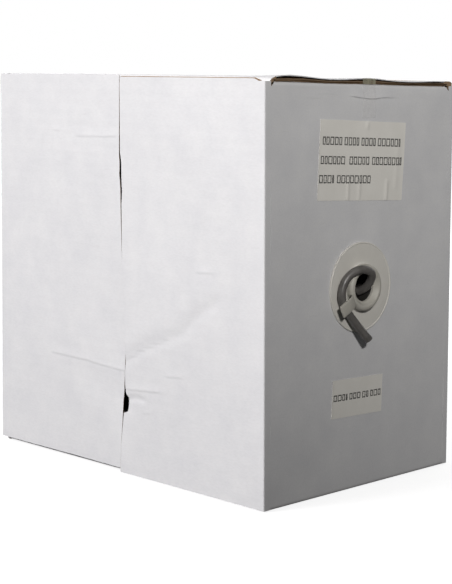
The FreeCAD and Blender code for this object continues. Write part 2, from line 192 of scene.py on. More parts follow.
# Labels: size, centre and clockwise tilt; then rows, each with its lowest and highest height and its bars,
# all from the label's centre, in millimetres
CONTENTS_LABEL = {"size": (92.0, 57.0), "centre": (-2.9, 240.3), "tilt": 2.7}
CONTENTS_ROWS = [
    (10.8, 16.6, [(-42.8, -22.4), (-19.8, -4.4), (-1.8, 13.4), (15.8, 41.0)]),
    (-2.8, 3.0, [(-44.0, -16.2), (-13.8, 7.4), (10.6, 43.4)]),
    (-16.2, -10.4, [(-45.0, -29.4), (-26.2, 11.6)]),
]
CODE_LABEL = {"size": (55.5, 28.0), "centre": (-4.7, 68.5), "tilt": 1.9}
CODE_ROWS = [(-1.6, 3.2, [(-26.2, -11.0), (-8.8, 3.4), (5.6, 12.4), (14.6, 26.2)])]
LABEL_THICKNESS = 0.0002
STROKE = 0.85                # width of the printed lines and of the gaps between blocks, in millimetres
BLOCK_WIDTHS = (2.9, 4.3)    # narrowest and widest block, in millimetres
LEAST_BLOCK = 1.6            # a bar ends where less than this is left of it
# Upright ripples in the contents label: x, half-width, height, lowest and highest z, in millimetres
LABEL_RIPPLES = [
    (-14.0, 1.6, 0.42, -28.5, -12.0), (-2.0, 1.8, 0.36, -28.5, -10.0), (28.0, 1.8, 0.50, -28.5, -14.0),
    (4.0, 2.0, 0.45, 23.0, 28.5), (38.0, 2.5, 0.25, -20.0, 10.0),
]

TAPE_RANGE = (-0.0027, 0.0113)
TAPE_BOTTOM = 0.272
TAPE_END = -0.120
TAPE_FACES = (0.00022, 0.00012)   # how far the film's two faces stand off the board

# Coil
COIL_CENTRE = Vector((0.0, 0.0, 0.1387))
COIL_INNER = 0.093
COIL_OUTER = 0.135
COIL_HALF_WIDTH = 0.089
COIL_LAYERS = 6
COIL_TURNS_LEFT = 11
COIL_TURNS_RIGHT = 12
COIL_HOLE = 0.0165
COIL_GAP = 0.0002            # the outermost turns stay this far inside the coil's CAD solid
COIL_SIDES = 8
STEPS_PER_TURN = 84


def linked(name, data):
    """An object for the data, in the scene."""
    made = bpy.data.objects.new(name, data)
    bpy.context.scene.collection.objects.link(made)
    return made


def stand_in(piece, body, slot, *nodes):
    """The piece moves with body and is shown instead of the CAD nodes. slot is not used."""
    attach(piece, body)
    if nodes:
        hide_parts(*nodes)


# ---------------------------------------------------------------- camera
def make_camera():
    """A long lens low on the carton's left front corner, a little rolled, as a hand-held view is."""
    yaw, pitch, roll = np.radians((44.392, -7.175, 0.389))
    forward = Vector((math.cos(pitch) * math.sin(yaw), math.cos(pitch) * math.cos(yaw), math.sin(pitch)))
    right = Vector((math.cos(yaw), -math.sin(yaw), 0.0))
    up = right.cross(forward)
    right_rolled = math.cos(roll) * right + math.sin(roll) * up
    up_rolled = -math.sin(roll) * right + math.cos(roll) * up
    data = bpy.data.cameras.new("view")
    data.sensor_width = 36.0
    data.lens = 98.50932
    data.shift_x = -0.008827
    data.shift_y = -0.040118
    data.clip_start = 0.05
    data.clip_end = 60.0
    camera = linked("view", data)
    axes = Matrix((right_rolled, up_rolled, -forward)).transposed()
    camera.matrix_world = Matrix.Translation((-0.87315, -0.90510, 0.30625)) @ axes.to_4x4()
    bpy.context.scene.camera = camera


# ---------------------------------------------------------------- materials
def new_material(name, colour, roughness, **inputs):
    """A material with the shader's own constant values set, its node tree and its shader."""
    made = bpy.data.materials.new(name)
    made.use_nodes = True
    shader = made.node_tree.nodes["Principled BSDF"]
    shader.inputs["Base Color"].default_value = (*colour, 1.0)
    shader.inputs["Roughness"].default_value = roughness
    for key, value in inputs.items():
        shader.inputs[key.replace("_", " ")].default_value = value
    made.diffuse_color = (*colour, 1.0)
    return made, made.node_tree, shader


def node(tree, kind, **settings):
    """A node, with plain settings as attributes and numbered or named sockets as inputs."""
    made = tree.nodes.new(kind)
    for key, value in settings.items():
        if key == "inputs":
            for socket, amount in value.items():
                made.inputs[socket].default_value = amount
        else:
            setattr(made, key, value)
    return made


def stretched_coordinates(tree, scale):
    """The piece's own coordinates, stretched."""
    place = node(tree, "ShaderNodeTexCoord")
    stretch = node(tree, "ShaderNodeMapping", inputs={"Scale": scale})
    tree.links.new(place.outputs["Object"], stretch.inputs["Vector"])
    return stretch.outputs["Vector"]


def noise(tree, scale, stretch=(1, 1, 1), detail=3.0, roughness=0.55, distortion=0.0):
    """Noise in the piece's own coordinates. scale is per metre."""
    made = node(tree, "ShaderNodeTexNoise", inputs={
        "Scale": scale, "Detail": detail, "Roughness": roughness, "Distortion": distortion})
    tree.links.new(stretched_coordinates(tree, stretch), made.inputs["Vector"])
    return made.outputs["Fac"]


def ramp(tree, value, stops):
    """A colour ramp over value. Each stop is a position and a colour."""
    made = node(tree, "ShaderNodeValToRGB")
    elements = made.color_ramp.elements
    while len(elements) < len(stops):
        elements.new(0.5)
    for element, (position, colour) in zip(elements, stops):
        element.position = position
        element.color = (*colour, 1.0)
    tree.links.new(value, made.inputs["Fac"])
    return made.outputs["Color"]


def mixed(tree, base, over, factor, blend_type="MIX"):
    """over on base by factor, which is a socket or a number."""
    made = node(tree, "ShaderNodeMix", data_type="RGBA", blend_type=blend_type)
    if isinstance(factor, (int, float)):
        made.inputs["Factor"].default_value = factor
    else:
        tree.links.new(factor, made.inputs["Factor"])
    tree.links.new(base, made.inputs["A"])
    tree.links.new(over, made.inputs["B"])
    return made.outputs["Result"]


def two_tone(tree, value, low, high):
    """A colour that goes from low to high over the middle of value's range."""
    return ramp(tree, value, [(0.3, low), (0.7, high)])


def ranged(tree, value, first, last, low, high, interpolation="LINEAR"):
    """low where value is first or less, high where it is last or more."""
    made = node(tree, "ShaderNodeMapRange", interpolation_type=interpolation, inputs={
        "From Min": first, "From Max": last, "To Min": low, "To Max": high})
    tree.links.new(value, made.inputs["Value"])
    return made.outputs["Result"]


def patchy(tree, shader, patches, low, high):
    """Roughness that goes from low to high with patches."""
    tree.links.new(ranged(tree, patches, 0.3, 0.7, low, high), shader.inputs["Roughness"])


def bumps(tree, shader, heights):
    """Chained bumps: each is a height socket, its distance in metres and its strength."""
    normal = None
    for height, distance, strength in heights:
        made = node(tree, "ShaderNodeBump", inputs={"Distance": distance, "Strength": strength})
        tree.links.new(height, made.inputs["Height"])
        if normal is not None:
            tree.links.new(normal, made.inputs["Normal"])
        normal = made.outputs["Normal"]
    tree.links.new(normal, shader.inputs["Normal"])


def white_liner():
    """Bleached liner: cool white, cloudy where the fibres lie unevenly, with faint grey scuffs."""
    made, tree, shader = new_material("white_liner", (0.68, 0.68, 0.69), 0.62, Specular_IOR_Level=0.35)
    clouds = ramp(tree, noise(tree, 55.0, detail=5.0), [
        (0.30, (0.655, 0.655, 0.668)), (0.72, (0.705, 0.703, 0.708))])
    specks = ramp(tree, noise(tree, 900.0, (1.0, 0.35, 1.0), detail=2.0), [
        (0.30, (0.93, 0.93, 0.93)), (0.62, (1.0, 1.0, 1.0))])
    spotted = mixed(tree, clouds, specks, 0.6, "MULTIPLY")
    scuffs = ramp(tree, noise(tree, 38.0, (1.0, 1.0, 9.0), detail=6.0, roughness=0.7, distortion=1.2), [
        (0.60, (0.0, 0.0, 0.0)), (0.74, (0.22, 0.22, 0.22))])
    grey = ramp(tree, noise(tree, 20.0), [(0.0, (0.50, 0.49, 0.49)), (1.0, (0.56, 0.55, 0.55))])
    tree.links.new(mixed(tree, spotted, grey, scuffs), shader.inputs["Base Color"])
    roughness = ramp(tree, noise(tree, 70.0), [(0.3, (0.55, 0.55, 0.55)), (0.8, (0.70, 0.70, 0.70))])
    tree.links.new(roughness, shader.inputs["Roughness"])
    bumps(tree, shader, [
        (noise(tree, 16.0, detail=2.0), 0.0012, 0.5),
        (noise(tree, 1600.0, (1.0, 0.4, 1.0), detail=3.0), 0.00006, 0.35)])
    return made


def kraft():
    """Brown kraft paper with long fibres."""
    made, tree, shader = new_material("kraft", (0.30, 0.20, 0.12), 0.85, Specular_IOR_Level=0.2)
    tone = ramp(tree, noise(tree, 420.0, (0.25, 0.6, 1.0), detail=6.0, roughness=0.6), [
        (0.25, (0.245, 0.168, 0.107)), (0.55, (0.300, 0.210, 0.135)), (0.80, (0.350, 0.248, 0.162))])
    fibres = ramp(tree, noise(tree, 1500.0, (0.15, 0.6, 1.0), detail=3.0), [
        (0.35, (0.78, 0.76, 0.72)), (0.65, (1.0, 1.0, 1.0))])
    tree.links.new(mixed(tree, tone, fibres, 0.8, "MULTIPLY"), shader.inputs["Base Color"])
    bumps(tree, shader, [(noise(tree, 1100.0, (0.3, 1.0, 1.0), detail=4.0), 0.00012, 0.5)])
    return made


def label_paper():
    """Uncoated label paper, warmer than the liner."""
    made, tree, shader = new_material("label_paper", (0.80, 0.78, 0.73), 0.55, Specular_IOR_Level=0.4)
    tone = ramp(tree, noise(tree, 90.0, detail=5.0), [
        (0.30, (0.780, 0.760, 0.710)), (0.75, (0.820, 0.800, 0.752))])
    tree.links.new(tone, shader.inputs["Base Color"])
    bumps(tree, shader, [
        (noise(tree, 120.0, detail=2.0), 0.00025, 0.35),
        (noise(tree, 2200.0), 0.00003, 0.3)])
    return made


def label_ink():
    """Black thermal print, slightly uneven."""
    made, tree, shader = new_material("label_ink", (0.08, 0.078, 0.075), 0.5)
    tone = ramp(tree, noise(tree, 1400.0, detail=4.0), [
        (0.30, (0.060, 0.058, 0.056)), (0.75, (0.150, 0.146, 0.138))])
    tree.links.new(tone, shader.inputs["Base Color"])
    return made


def clear_film(name, colour, alpha, roughness):
    """Clear tape: a thin glossy film with streaks of trapped air under it."""
    made, tree, shader = new_material(name, colour, roughness, Specular_IOR_Level=0.6, Coat_Weight=0.4,
                                      Coat_Roughness=0.08)
    streaks = noise(tree, 260.0, (1.0, 1.0, 0.35), detail=4.0)
    faint = tuple(0.94 * value for value in colour)
    tree.links.new(two_tone(tree, streaks, faint, colour), shader.inputs["Base Color"])
    cover = ranged(tree, streaks, 0.3, 0.75, alpha * 0.7, alpha * 1.5)
    tree.links.new(cover, shader.inputs["Alpha"])
    bumps(tree, shader, [(noise(tree, 150.0, (1.0, 1.0, 0.4)), 0.0001, 0.2)])
    return made


def moulded_surface(tree, shader, low, high):
    """Roughness from low to high in patches, with flow marks and a fine grain."""
    patchy(tree, shader, noise(tree, 240.0, detail=5.0), low, high)
    bumps(tree, shader, [
        (noise(tree, 90.0, detail=2.0), 0.00025, 0.3),
        (noise(tree, 1800.0), 0.00002, 0.4)])


def moulded_plastic(name, low, high, roughness, glow):
    """Satin polyethylene that lets a little light in, with flow marks and handling marks."""
    made, tree, shader = new_material(name, high, roughness, Specular_IOR_Level=0.5, Subsurface_Weight=glow,
                                      Subsurface_Scale=0.002)
    shader.inputs["Subsurface Radius"].default_value = (1.0, 0.85, 0.7)
    flow = noise(tree, 60.0, detail=4.0, distortion=0.6)
    tree.links.new(two_tone(tree, flow, low, high), shader.inputs["Base Color"])
    moulded_surface(tree, shader, roughness - 0.07, roughness + 0.10)
    return made


def horn_plastic():
    """White polyethylene, with painted shade on the lip and the hook: their colour is darker than the
    flange's, which has board behind it, standing for the dimmer look of thin plastic with nothing bright
    behind it.
    """
    made, tree, shader = new_material("horn_plastic", (0.70, 0.68, 0.63), 0.36, Specular_IOR_Level=0.5)
    place = node(tree, "ShaderNodeTexCoord")
    split = node(tree, "ShaderNodeSeparateXYZ")
    tree.links.new(place.outputs["Object"], split.inputs["Vector"])
    backed = ranged(tree, split.outputs["Y"], PORT.y - 0.0042, PORT.y - 0.0019, 0.0, 1.0, "SMOOTHSTEP")
    flow = noise(tree, 60.0, detail=4.0, distortion=0.6)
    # Painted shade: the lip and the hook, which stand clear of the board, take this darker tone.
    shaded_thin_wall = two_tone(tree, flow, (0.450, 0.434, 0.384), (0.505, 0.488, 0.438))
    solid = two_tone(tree, flow, (0.680, 0.660, 0.612), (0.725, 0.706, 0.658))
    tree.links.new(mixed(tree, shaded_thin_wall, solid, backed), shader.inputs["Base Color"])
    moulded_surface(tree, shader, 0.42, 0.60)
    return made


def cable_jacket():
    """Satin dark grey PVC, drawn along the cable, with dull rubbed patches."""
    made, tree, shader = new_material("cable_jacket", (0.105, 0.098, 0.094), 0.4, Specular_IOR_Level=0.5)
    tone = two_tone(tree, noise(tree, 140.0, detail=5.0), (0.104, 0.098, 0.092), (0.150, 0.142, 0.134))
    tree.links.new(tone, shader.inputs["Base Color"])
    patchy(tree, shader, noise(tree, 320.0, detail=4.0), 0.30, 0.48)
    bumps(tree, shader, [
        (noise(tree, 500.0, detail=3.0), 0.00008, 0.35),
        (noise(tree, 4000.0), 0.00002, 0.3)])
    return made


def wire_insulation(name, colour):
    """Glossy polyethylene on one wire."""
    made, tree, shader = new_material(name, colour, 0.35, Specular_IOR_Level=0.5)
    dull = tuple(0.85 * value for value in colour)
    tree.links.new(two_tone(tree, noise(tree, 900.0), dull, colour), shader.inputs["Base Color"])
    return made


def cut_copper():
    """Bright copper with shear marks."""
    made, tree, shader = new_material("cut_copper", (0.85, 0.42, 0.25), 0.28, Metallic=1.0)
    tone = two_tone(tree, noise(tree, 3000.0, (1.0, 1.0, 4.0)), (0.68, 0.31, 0.17), (0.90, 0.50, 0.32))
    tree.links.new(tone, shader.inputs["Base Color"])
    bumps(tree, shader, [(noise(tree, 5000.0, (1.0, 1.0, 6.0)), 0.00002, 0.5)])
    return made


# ---------------------------------------------------------------- meshes
def make_object(name, shape, materials, sharp_degrees):
    """A mesh piece from points, faces and slots, smooth but for edges sharper than sharp_degrees."""
    points, faces, slots = shape
    mesh = bpy.data.meshes.new(name)
    mesh.from_pydata(np.asarray(points, float).tolist(), [], np.asarray(faces).tolist())
    for each in materials:
        mesh.materials.append(each)
    mesh.polygons.foreach_set("material_index", np.asarray(slots, np.int32))
    mesh.shade_smooth()
    mesh.set_sharp_from_angle(angle=math.radians(sharp_degrees))
    mesh.update()
    return linked(name, mesh)


def slab(outer, inner, outer_slot, other_slot, keep=None):
    """A closed sheet between two grids of points. keep says which grid cells are there."""
    rows, columns = outer.shape[:2]
    if keep is None:
        keep = np.ones((rows - 1, columns - 1), bool)
    index = np.arange(rows * columns).reshape(rows, columns)
    back = rows * columns
    i, j = np.nonzero(keep)
    corners = (index[i, j], index[i + 1, j], index[i + 1, j + 1], index[i, j + 1])
    front = np.stack(corners, 1)
    # Order of the faces: front, back, then the sides at column 0, the last row, the last column and row 0
    faces = [front, front[:, ::-1] + back]
    slots = [np.full(len(front), outer_slot), np.full(len(front), other_slot)]
    padded = np.pad(keep, 1)
    neighbours = (padded[i + 1, j], padded[i + 2, j + 1], padded[i + 1, j + 2], padded[i, j + 1])
    for side, neighbour in enumerate(neighbours):
        first = corners[side][~neighbour]
        second = corners[(side + 1) % 4][~neighbour]
        faces.append(np.stack((second, first, first + back, second + back), 1))
        slots.append(np.full(len(first), other_slot))
    points = np.concatenate((outer.reshape(-1, 3), inner.reshape(-1, 3)))
    faces = np.concatenate(faces)
    a, b, c, d = (points[faces[:, k]] for k in range(4))
    volume = np.einsum("ij,ij->i", a, np.cross(b, c)).sum() + np.einsum("ij,ij->i", a, np.cross(c, d)).sum()
    if volume < 0:
        faces = faces[:, ::-1]
    used, compact = np.unique(faces, return_inverse=True)
    return points[used], compact.reshape(faces.shape), np.concatenate(slots)


def joined(parts):
    """Several (points, faces, slots) as one."""
    points, faces, slots = zip(*parts)
    starts = np.cumsum([0] + [len(each) for each in points[:-1]])
    faces = [each + start for each, start in zip(faces, starts)]
    return np.concatenate(points), np.concatenate(faces), np.concatenate(slots)


def ring_faces(rows, sides, closed):
    """Faces between rows of rings, one after another. closed joins the last row to the first."""
    index = np.arange(rows * sides).reshape(rows, sides)
    low, high = (index, np.roll(index, -1, 0)) if closed else (index[:-1], index[1:])
    return np.stack((low, np.roll(low, -1, 1), np.roll(high, -1, 1), high), -1).reshape(-1, 4)


def ring(sides, first, second):
    """Points of a circle of radius 1 in the plane of two directions."""
    angles = np.linspace(0, 2 * math.pi, sides, endpoint=False)
    return np.outer(np.cos(angles), first) + np.outer(np.sin(angles), second)


def spaced(low, high, step, extra=()):
    """Values from low to high about step apart, with the extra ones among them."""
    plain = np.linspace(low, high, max(2, int(math.ceil((high - low) / step)) + 1))
    extra = [value for value in extra if low < value < high]
    kept = [value for value in plain if all(abs(value - other) > step * 0.35 for other in extra)]
    return np.array(sorted(set([low, high] + kept + extra)))


# ---------------------------------------------------------------- how the carton has settled
def racked(points):
    """Moves points with the carton's corners, linearly between them."""
    x = np.clip(points[..., 0] / WIDTH + 0.5, -0.1, 1.1)
    y = np.clip(points[..., 1] / DEPTH + 0.5, -0.1, 1.1)
    z = np.clip(points[..., 2] / HEIGHT, 0.0, 1.1)
    moved = points.copy()
    for (side, end, top), shift in CORNER_SHIFTS.items():
        share = (x if side > 0 else 1 - x) * (y if end > 0 else 1 - y) * (z if top else 1 - z)
        moved += share[..., None] * np.array(shift) * MM
    return moved


def eased(share):
    """Share held between 0 and 1, with an easy start and end."""
    share = np.clip(share, 0, 1)
    return share * share * (3 - 2 * share)


def crease_height(creases, across, up):
    """Height of the listed creases at each point, in metres: fine ones are ledges, wide ones are ridges."""
    total = np.zeros_like(across)
    for height, half_width, line in creases:
        if half_width < 1:
            total += height * MM * ledge(sorted(line), across / MM, up / MM)
            continue
        nearest = np.full(across.shape, 1e9)
        for (a0, b0), (a1, b1) in zip(line, line[1:]):
            da, db = a1 - a0, b1 - b0
            along = ((across / MM - a0) * da + (up / MM - b0) * db) / (da * da + db * db)
            along = np.clip(along, 0, 1)
            distance = np.hypot(across / MM - a0 - along * da, up / MM - b0 - along * db)
            nearest = np.minimum(nearest, distance)
        total += height * MM * np.exp(-((nearest / half_width) ** 2))
    return total


def ledge(line, across, up):
    """A small step down below the line that fades away above it and past its ends. All in millimetres."""
    line_across, line_up = zip(*line)
    above = up - np.interp(across, line_across, line_up)
    ends = eased((across - line_across[0]) / 3 + 0.5) * eased((line_across[-1] - across) / 3 + 0.5)
    return ends * eased(above / 0.45 + 0.5) * np.exp(-((np.maximum(above, 0) / 3.5) ** 2))


def easy_bulge(across, up, seed):
    """Slow waves in a sheet, in metres."""
    phase = 1.7 * seed
    return 0.00025 * (
        np.sin(31.0 * across + 17.0 * up + phase) + 0.7 * np.sin(-19.0 * across + 43.0 * up + 2.1 * phase)
        + 0.4 * np.sin(57.0 * across - 29.0 * up + 0.6 * phase)
    )


def port_calm(x, z):
    """0 round the port, where the horn holds the panel flat, rising to 1 away from it."""
    return eased((np.hypot(x - PORT.x, z - PORT.z) - PORT_FLAT) / 0.03)


def front_panel_shift(x, z):
    """How far the front panel's face stands out of its plane, in metres."""
    stiff_rim = 0.02
    from_rim = np.minimum(np.minimum(WIDTH / 2 - np.abs(x), z), HEIGHT - z)
    waves = easy_bulge(x, z, 1.0) * np.clip(from_rim / stiff_rim, 0, 1)
    return (waves + crease_height(FRONT_CREASES, x, z)) * port_calm(x, z)


# ---------------------------------------------------------------- carton tube
def fold_path(corners, radius):
    """Straight runs and right-hand turns through the corners: length, start, direction, turns or not."""
    pieces = []
    here = np.array(corners[0], float)
    for index in range(1, len(corners)):
        corner = np.array(corners[index], float)
        way = (corner - here) / np.linalg.norm(corner - here)
        last = index == len(corners) - 1
        length = np.linalg.norm(corner - here) - (0 if last else radius)
        pieces.append((length, here, way, False))
        if not last:
            start = here + way * length
            pieces.append((radius * math.pi / 2, start, way, True))
            after = np.array((way[1], -way[0]))
            here = start + way * radius + after * radius
    return pieces


def along_path(pieces, radius, distances):
    """Points, inward normals and outward push of the outer face at the distances along a fold path."""
    pushes = np.zeros(len(distances))
    points = np.zeros((len(distances), 2))
    normals = np.zeros((len(distances), 2))
    begin = 0.0
    for length, start, way, turns in pieces:
        inside = (distances >= begin - 1e-9) & (distances <= begin + length + 1e-9)
        t = distances[inside] - begin
        inward = np.array((way[1], -way[0]))
        if turns:
            angle = t / radius
            centre = start + inward * radius
            normal = np.outer(np.cos(angle), inward) - np.outer(np.sin(angle), way)
            points[inside] = centre - normal * radius
            normals[inside] = normal
            corner = 1 / np.maximum(np.cos(angle), np.sin(angle)) - 1
            pushes[inside] = FOLD_SHARPNESS * radius * corner
        else:
            points[inside] = start + np.outer(t, way)
            normals[inside] = inward
        begin += length
    return points, normals, pushes


TUBE_CORNERS = [
    (-DEPTH / 2, HEIGHT), (DEPTH / 2, HEIGHT), (DEPTH / 2, 0.0), (-DEPTH / 2, 0.0),
    (-DEPTH / 2, HEIGHT - BOARD), (GLUE_TAB_END, HEIGHT - BOARD),
]
TUBE_PATH = fold_path(TUBE_CORNERS, FOLD_RADIUS)
TUBE_STARTS = np.concatenate(([0.0], np.cumsum([piece[0] for piece in TUBE_PATH])))
FOLD_PIECES = (1, 3, 5, 7)
FRONT_PIECE = 6
FRONT_START = TUBE_STARTS[FRONT_PIECE]


def tube_half_width(distances):
    """Half-width of the carton's tube along its path: less where crease strips take over."""
    panel = WIDTH / 2 - CREASE_REACH
    lid = TUBE_HALF - CREASE_REACH
    free = TUBE_HALF - 0.0002
    starts = TUBE_STARTS
    tab = 0.090
    step = 0.0001
    stops = [
        (0.0, lid), (starts[1] - step, lid), (starts[1], free), (starts[2], panel), (starts[3], panel),
        (starts[4], free), (starts[4] + step, lid), (starts[5] - step, lid), (starts[5], free),
        (starts[6], panel), (starts[7], panel), (starts[8], tab), (starts[9], tab),
    ]
    places, widths = zip(*stops)
    return np.interp(distances, places, widths), list(places)


def raw_edge_lift(x, y, depth):
    """Rise of the top panel's board near its raw edge, at depth under its outer face."""
    wave_x, wave_z = zip(*RAW_EDGE_WAVE)
    lift = np.interp(x / MM, wave_x, wave_z) * MM
    fades_over = 0.028
    lost_below = 0.75
    return lift * np.exp(-(y + DEPTH / 2) / fades_over) * (1 - lost_below * depth / BOARD)


def tube_surface(distances, shares, depth):
    """Points of the tube's board at depth (one for each row, in metres) under its outer face."""
    centre, normal, push = along_path(TUBE_PATH, FOLD_RADIUS, distances)
    depth = (depth - push * (1 - depth / BOARD))[:, None]
    half, _ = tube_half_width(distances)
    x = half[:, None] * shares[None, :]
    on_front = ((distances >= FRONT_START) & (distances <= TUBE_STARTS[FRONT_PIECE + 1]))[:, None]
    # Round the port the grid goes from square to round, so that the hole has a clean edge
    u = x - PORT.x
    v = np.broadcast_to((centre[:, 1] - PORT.z)[:, None], x.shape)
    square = np.maximum(np.abs(u), np.abs(v))
    radius = np.hypot(u, v)
    outer_ring = HOLE_RADIUS / HOLE_SQUARE * HOLE_BLEND
    share = np.clip((square - HOLE_RADIUS) / (outer_ring - HOLE_RADIUS), 0, 1)
    scale = np.where(radius > 1e-9, ((1 - share) * square + share * radius) / np.maximum(radius, 1e-9), 1.0)
    scale = np.where(on_front, scale, 1.0)
    x = PORT.x + u * scale
    y = centre[:, 0][:, None] + normal[:, 0][:, None] * depth
    z = centre[:, 1][:, None] + normal[:, 1][:, None] * depth
    z = np.where(on_front, PORT.z + (z - PORT.z) * scale, z)
    y = y - np.where(on_front, front_panel_shift(x, z), 0.0)
    # The top panel's raw edge waves, its middle sags, and the rear panel bulges
    on_top = (distances <= TUBE_STARTS[1])[:, None]
    z = z + np.where(on_top, raw_edge_lift(x, y, depth), 0.0)
    stiff_end = 0.04
    from_front = np.clip(distances / stiff_end, 0, 1)
    from_rear = np.clip((TUBE_STARTS[1] - distances) / stiff_end, 0, 1)
    deepest = 0.0006
    sag = easy_bulge(x, y, 2.0) - deepest * np.cos(x * math.pi / (2 * 0.095))
    z = z + np.where(on_top, (from_front * from_rear)[:, None], 0) * sag
    stiff_rim = 0.03
    on_rear = ((distances > TUBE_STARTS[2]) & (distances < TUBE_STARTS[3]))[:, None]
    y = y + np.clip(np.minimum(z, HEIGHT - z) / stiff_rim, 0, 1) * on_rear * easy_bulge(x, z, 3.0)
    return racked(np.stack((x, y, z), -1))


def tube_grid():
    """Rows along the tube's path and columns across it, close together where its shape needs them."""
    half = WIDTH / 2 - CREASE_REACH
    ring_step = HOLE_RADIUS / HOLE_SQUARE
    from_port = [ring_step * k for k in range(-HOLE_BLEND, HOLE_BLEND + 1)]
    at_port = [FRONT_START + PORT.z - FOLD_RADIUS + up for up in from_port]
    at_fine_creases = [FRONT_START + z * MM - FOLD_RADIUS for z in np.arange(283.6, 289.6, 0.32)]
    _, breaks = tube_half_width(np.array([0.0]))
    quarter_turn = FOLD_RADIUS * math.pi / 2
    in_folds = [
        TUBE_STARTS[k] + quarter_turn * share for k in FOLD_PIECES for share in (0, 0.2, 0.4, 0.6, 0.8, 1.0)
    ]
    total = TUBE_STARTS[-1]
    fine = spaced(0.0, total, FLUTE_PITCH / 3, at_port + at_fine_creases + breaks + in_folds)
    coarse = spaced(0.0, total, 0.005, at_port + breaks + in_folds)
    near_port = [(PORT.x + across) / half for across in from_port]
    columns = spaced(-1.0, 1.0, 0.0072 / half, near_port + [-0.99, -0.965, 0.965, 0.99])
    return fine, coarse, columns, half


def around_port(rows, columns, half):
    """How far each cell's middle is across and up from the port, and which cells are on the front panel."""
    across = (columns[:-1] + columns[1:]) / 2 * half - PORT.x
    up = (rows[:-1] + rows[1:]) / 2 - FRONT_START + FOLD_RADIUS - PORT.z
    return np.abs(across)[None, :], np.abs(up)[:, None], (rows[:-1] >= FRONT_START)[:, None]


def carton_tube(papers):
    """Front, bottom, rear and top panels and the glue tab: one board folded round the carton."""
    fine, coarse, columns, half = tube_grid()
    parts = []
    for low, high, slot in LINERS:
        rows = coarse if slot else fine
        across, up, on_front = around_port(rows, columns, half)
        sink = washboard(rows) * (1 - slot)
        swell = (1 - slot) * RAW_EDGE_SWELL * np.exp(-rows / 0.002)
        outer = tube_surface(rows, columns, low + sink)
        inner = tube_surface(rows, columns, high + sink + swell)
        parts.append(slab(outer, inner, slot, slot, ~((np.maximum(across, up) < HOLE_RADIUS) & on_front)))
    rows = spaced(0.0, TUBE_STARTS[-1], FLUTE_PITCH / 6)
    columns = spaced(-1.0, 1.0, 0.03 / half)
    across, up, on_front = around_port(rows, columns, half)
    flattened = np.zeros(len(rows))
    for k in FOLD_PIECES:
        middle = (TUBE_STARTS[k] + TUBE_STARTS[k + 1]) / 2
        flattened = np.maximum(flattened, 0.8 * np.exp(-(((rows - middle) / 0.005) ** 2)))
    wave = BOARD / 2 + flute_wave(rows) * (1 - flattened)
    outer = tube_surface(rows, columns, wave - MEDIUM / 2)
    inner = tube_surface(rows, columns, wave + MEDIUM / 2)
    parts.append(slab(outer, inner, 1, 1, ~((np.hypot(across, up) < MEDIUM_HOLE) & on_front)))
    made = make_object("carton_tube", joined(parts), papers, 50.0)
    stand_in(made, "carton", "board", "front_panel", "bottom_panel", "rear_panel", "top_panel", "glue_tab")


def washboard(distances):
    """How deep the outer liner sinks between its flutes."""
    return WASHBOARD * (0.5 - 0.5 * np.cos(2 * math.pi * distances / FLUTE_PITCH))


def flute_wave(distances):
    """Depth of the fluted medium from the board's middle."""
    amplitude = BOARD / 2 - LINER - MEDIUM / 2
    return amplitude * np.sin(2 * math.pi * distances / FLUTE_PITCH)


# ---------------------------------------------------------------- flaps
def flap_layers(surface, along, up, along_coarse, up_flutes, flutes_run_along):
    """Two liners and the medium of a flat board. surface(along, up, depth) gives points."""
    parts = []
    for low, high, slot in LINERS:
        a_values = along_coarse if slot else along
        u_values = spaced(up[0], up[-1], 0.004) if slot else up
        a, u = np.meshgrid(a_values, u_values, indexing="ij")
        sink = washboard(u if flutes_run_along else a) * (1 - slot)
        parts.append(slab(surface(a, u, low + sink), surface(a, u, high + sink), slot, 1))
    if not flutes_run_along:
        along_coarse = spaced(along[0], along[-1], FLUTE_PITCH / 8)
        up_flutes = spaced(up[0], up[-1], 0.009)
    a, u = np.meshgrid(along_coarse, up_flutes, indexing="ij")
    middle = BOARD / 2 + flute_wave(u if flutes_run_along else a)
    parts.append(slab(surface(a, u, middle - MEDIUM / 2), surface(a, u, middle + MEDIUM / 2), 1, 1))
    return joined(parts)


def outer_flap(name, side, end, base, raised, edge, overhang, creases, fine, seed, papers):
    """A full-height flap, from just past its crease to its free edge near the middle of the side.

    raised is how far its top stands above its crease, edge is its free edge, and overhang is how far the
    outer liner reaches past the board behind it there.
    """
    edge_z, edge_y = zip(*edge)
    fixed = end * (DEPTH / 2 - CREASE_REACH)
    top_band = 0.008

    def surface(share, z, depth):
        behind = np.clip((depth - LINER * 1.5) / LINER, 0, 1)
        near_top = eased((z - base - FLAP_HEIGHT) / top_band + 1)
        z = z + raised * (1 + 0.3 * behind) * eased(share / 0.03) * near_top
        free = np.interp(z / MM, edge_z, edge_y) * MM + end * overhang * behind
        y = fixed + (free - fixed) * share
        grip = np.clip(share / 0.15, 0, 1)
        rise = (easy_bulge(y, z, seed) + crease_height(creases, y, z)) * grip
        return racked(np.stack((side * (WIDTH / 2 + rise - depth), y, z), -1))

    along = np.linspace(0, 1, 58 if fine else 34)
    up = spaced(base, base + FLAP_HEIGHT, 0.00075 if fine else 0.0016)
    up_flutes = spaced(base, base + FLAP_HEIGHT, FLUTE_PITCH / 8)
    shape = flap_layers(surface, along, up, np.linspace(0, 1, 25), up_flutes, True)
    stand_in(make_object(name + "_board", shape, papers, 50.0), name, "board", name)


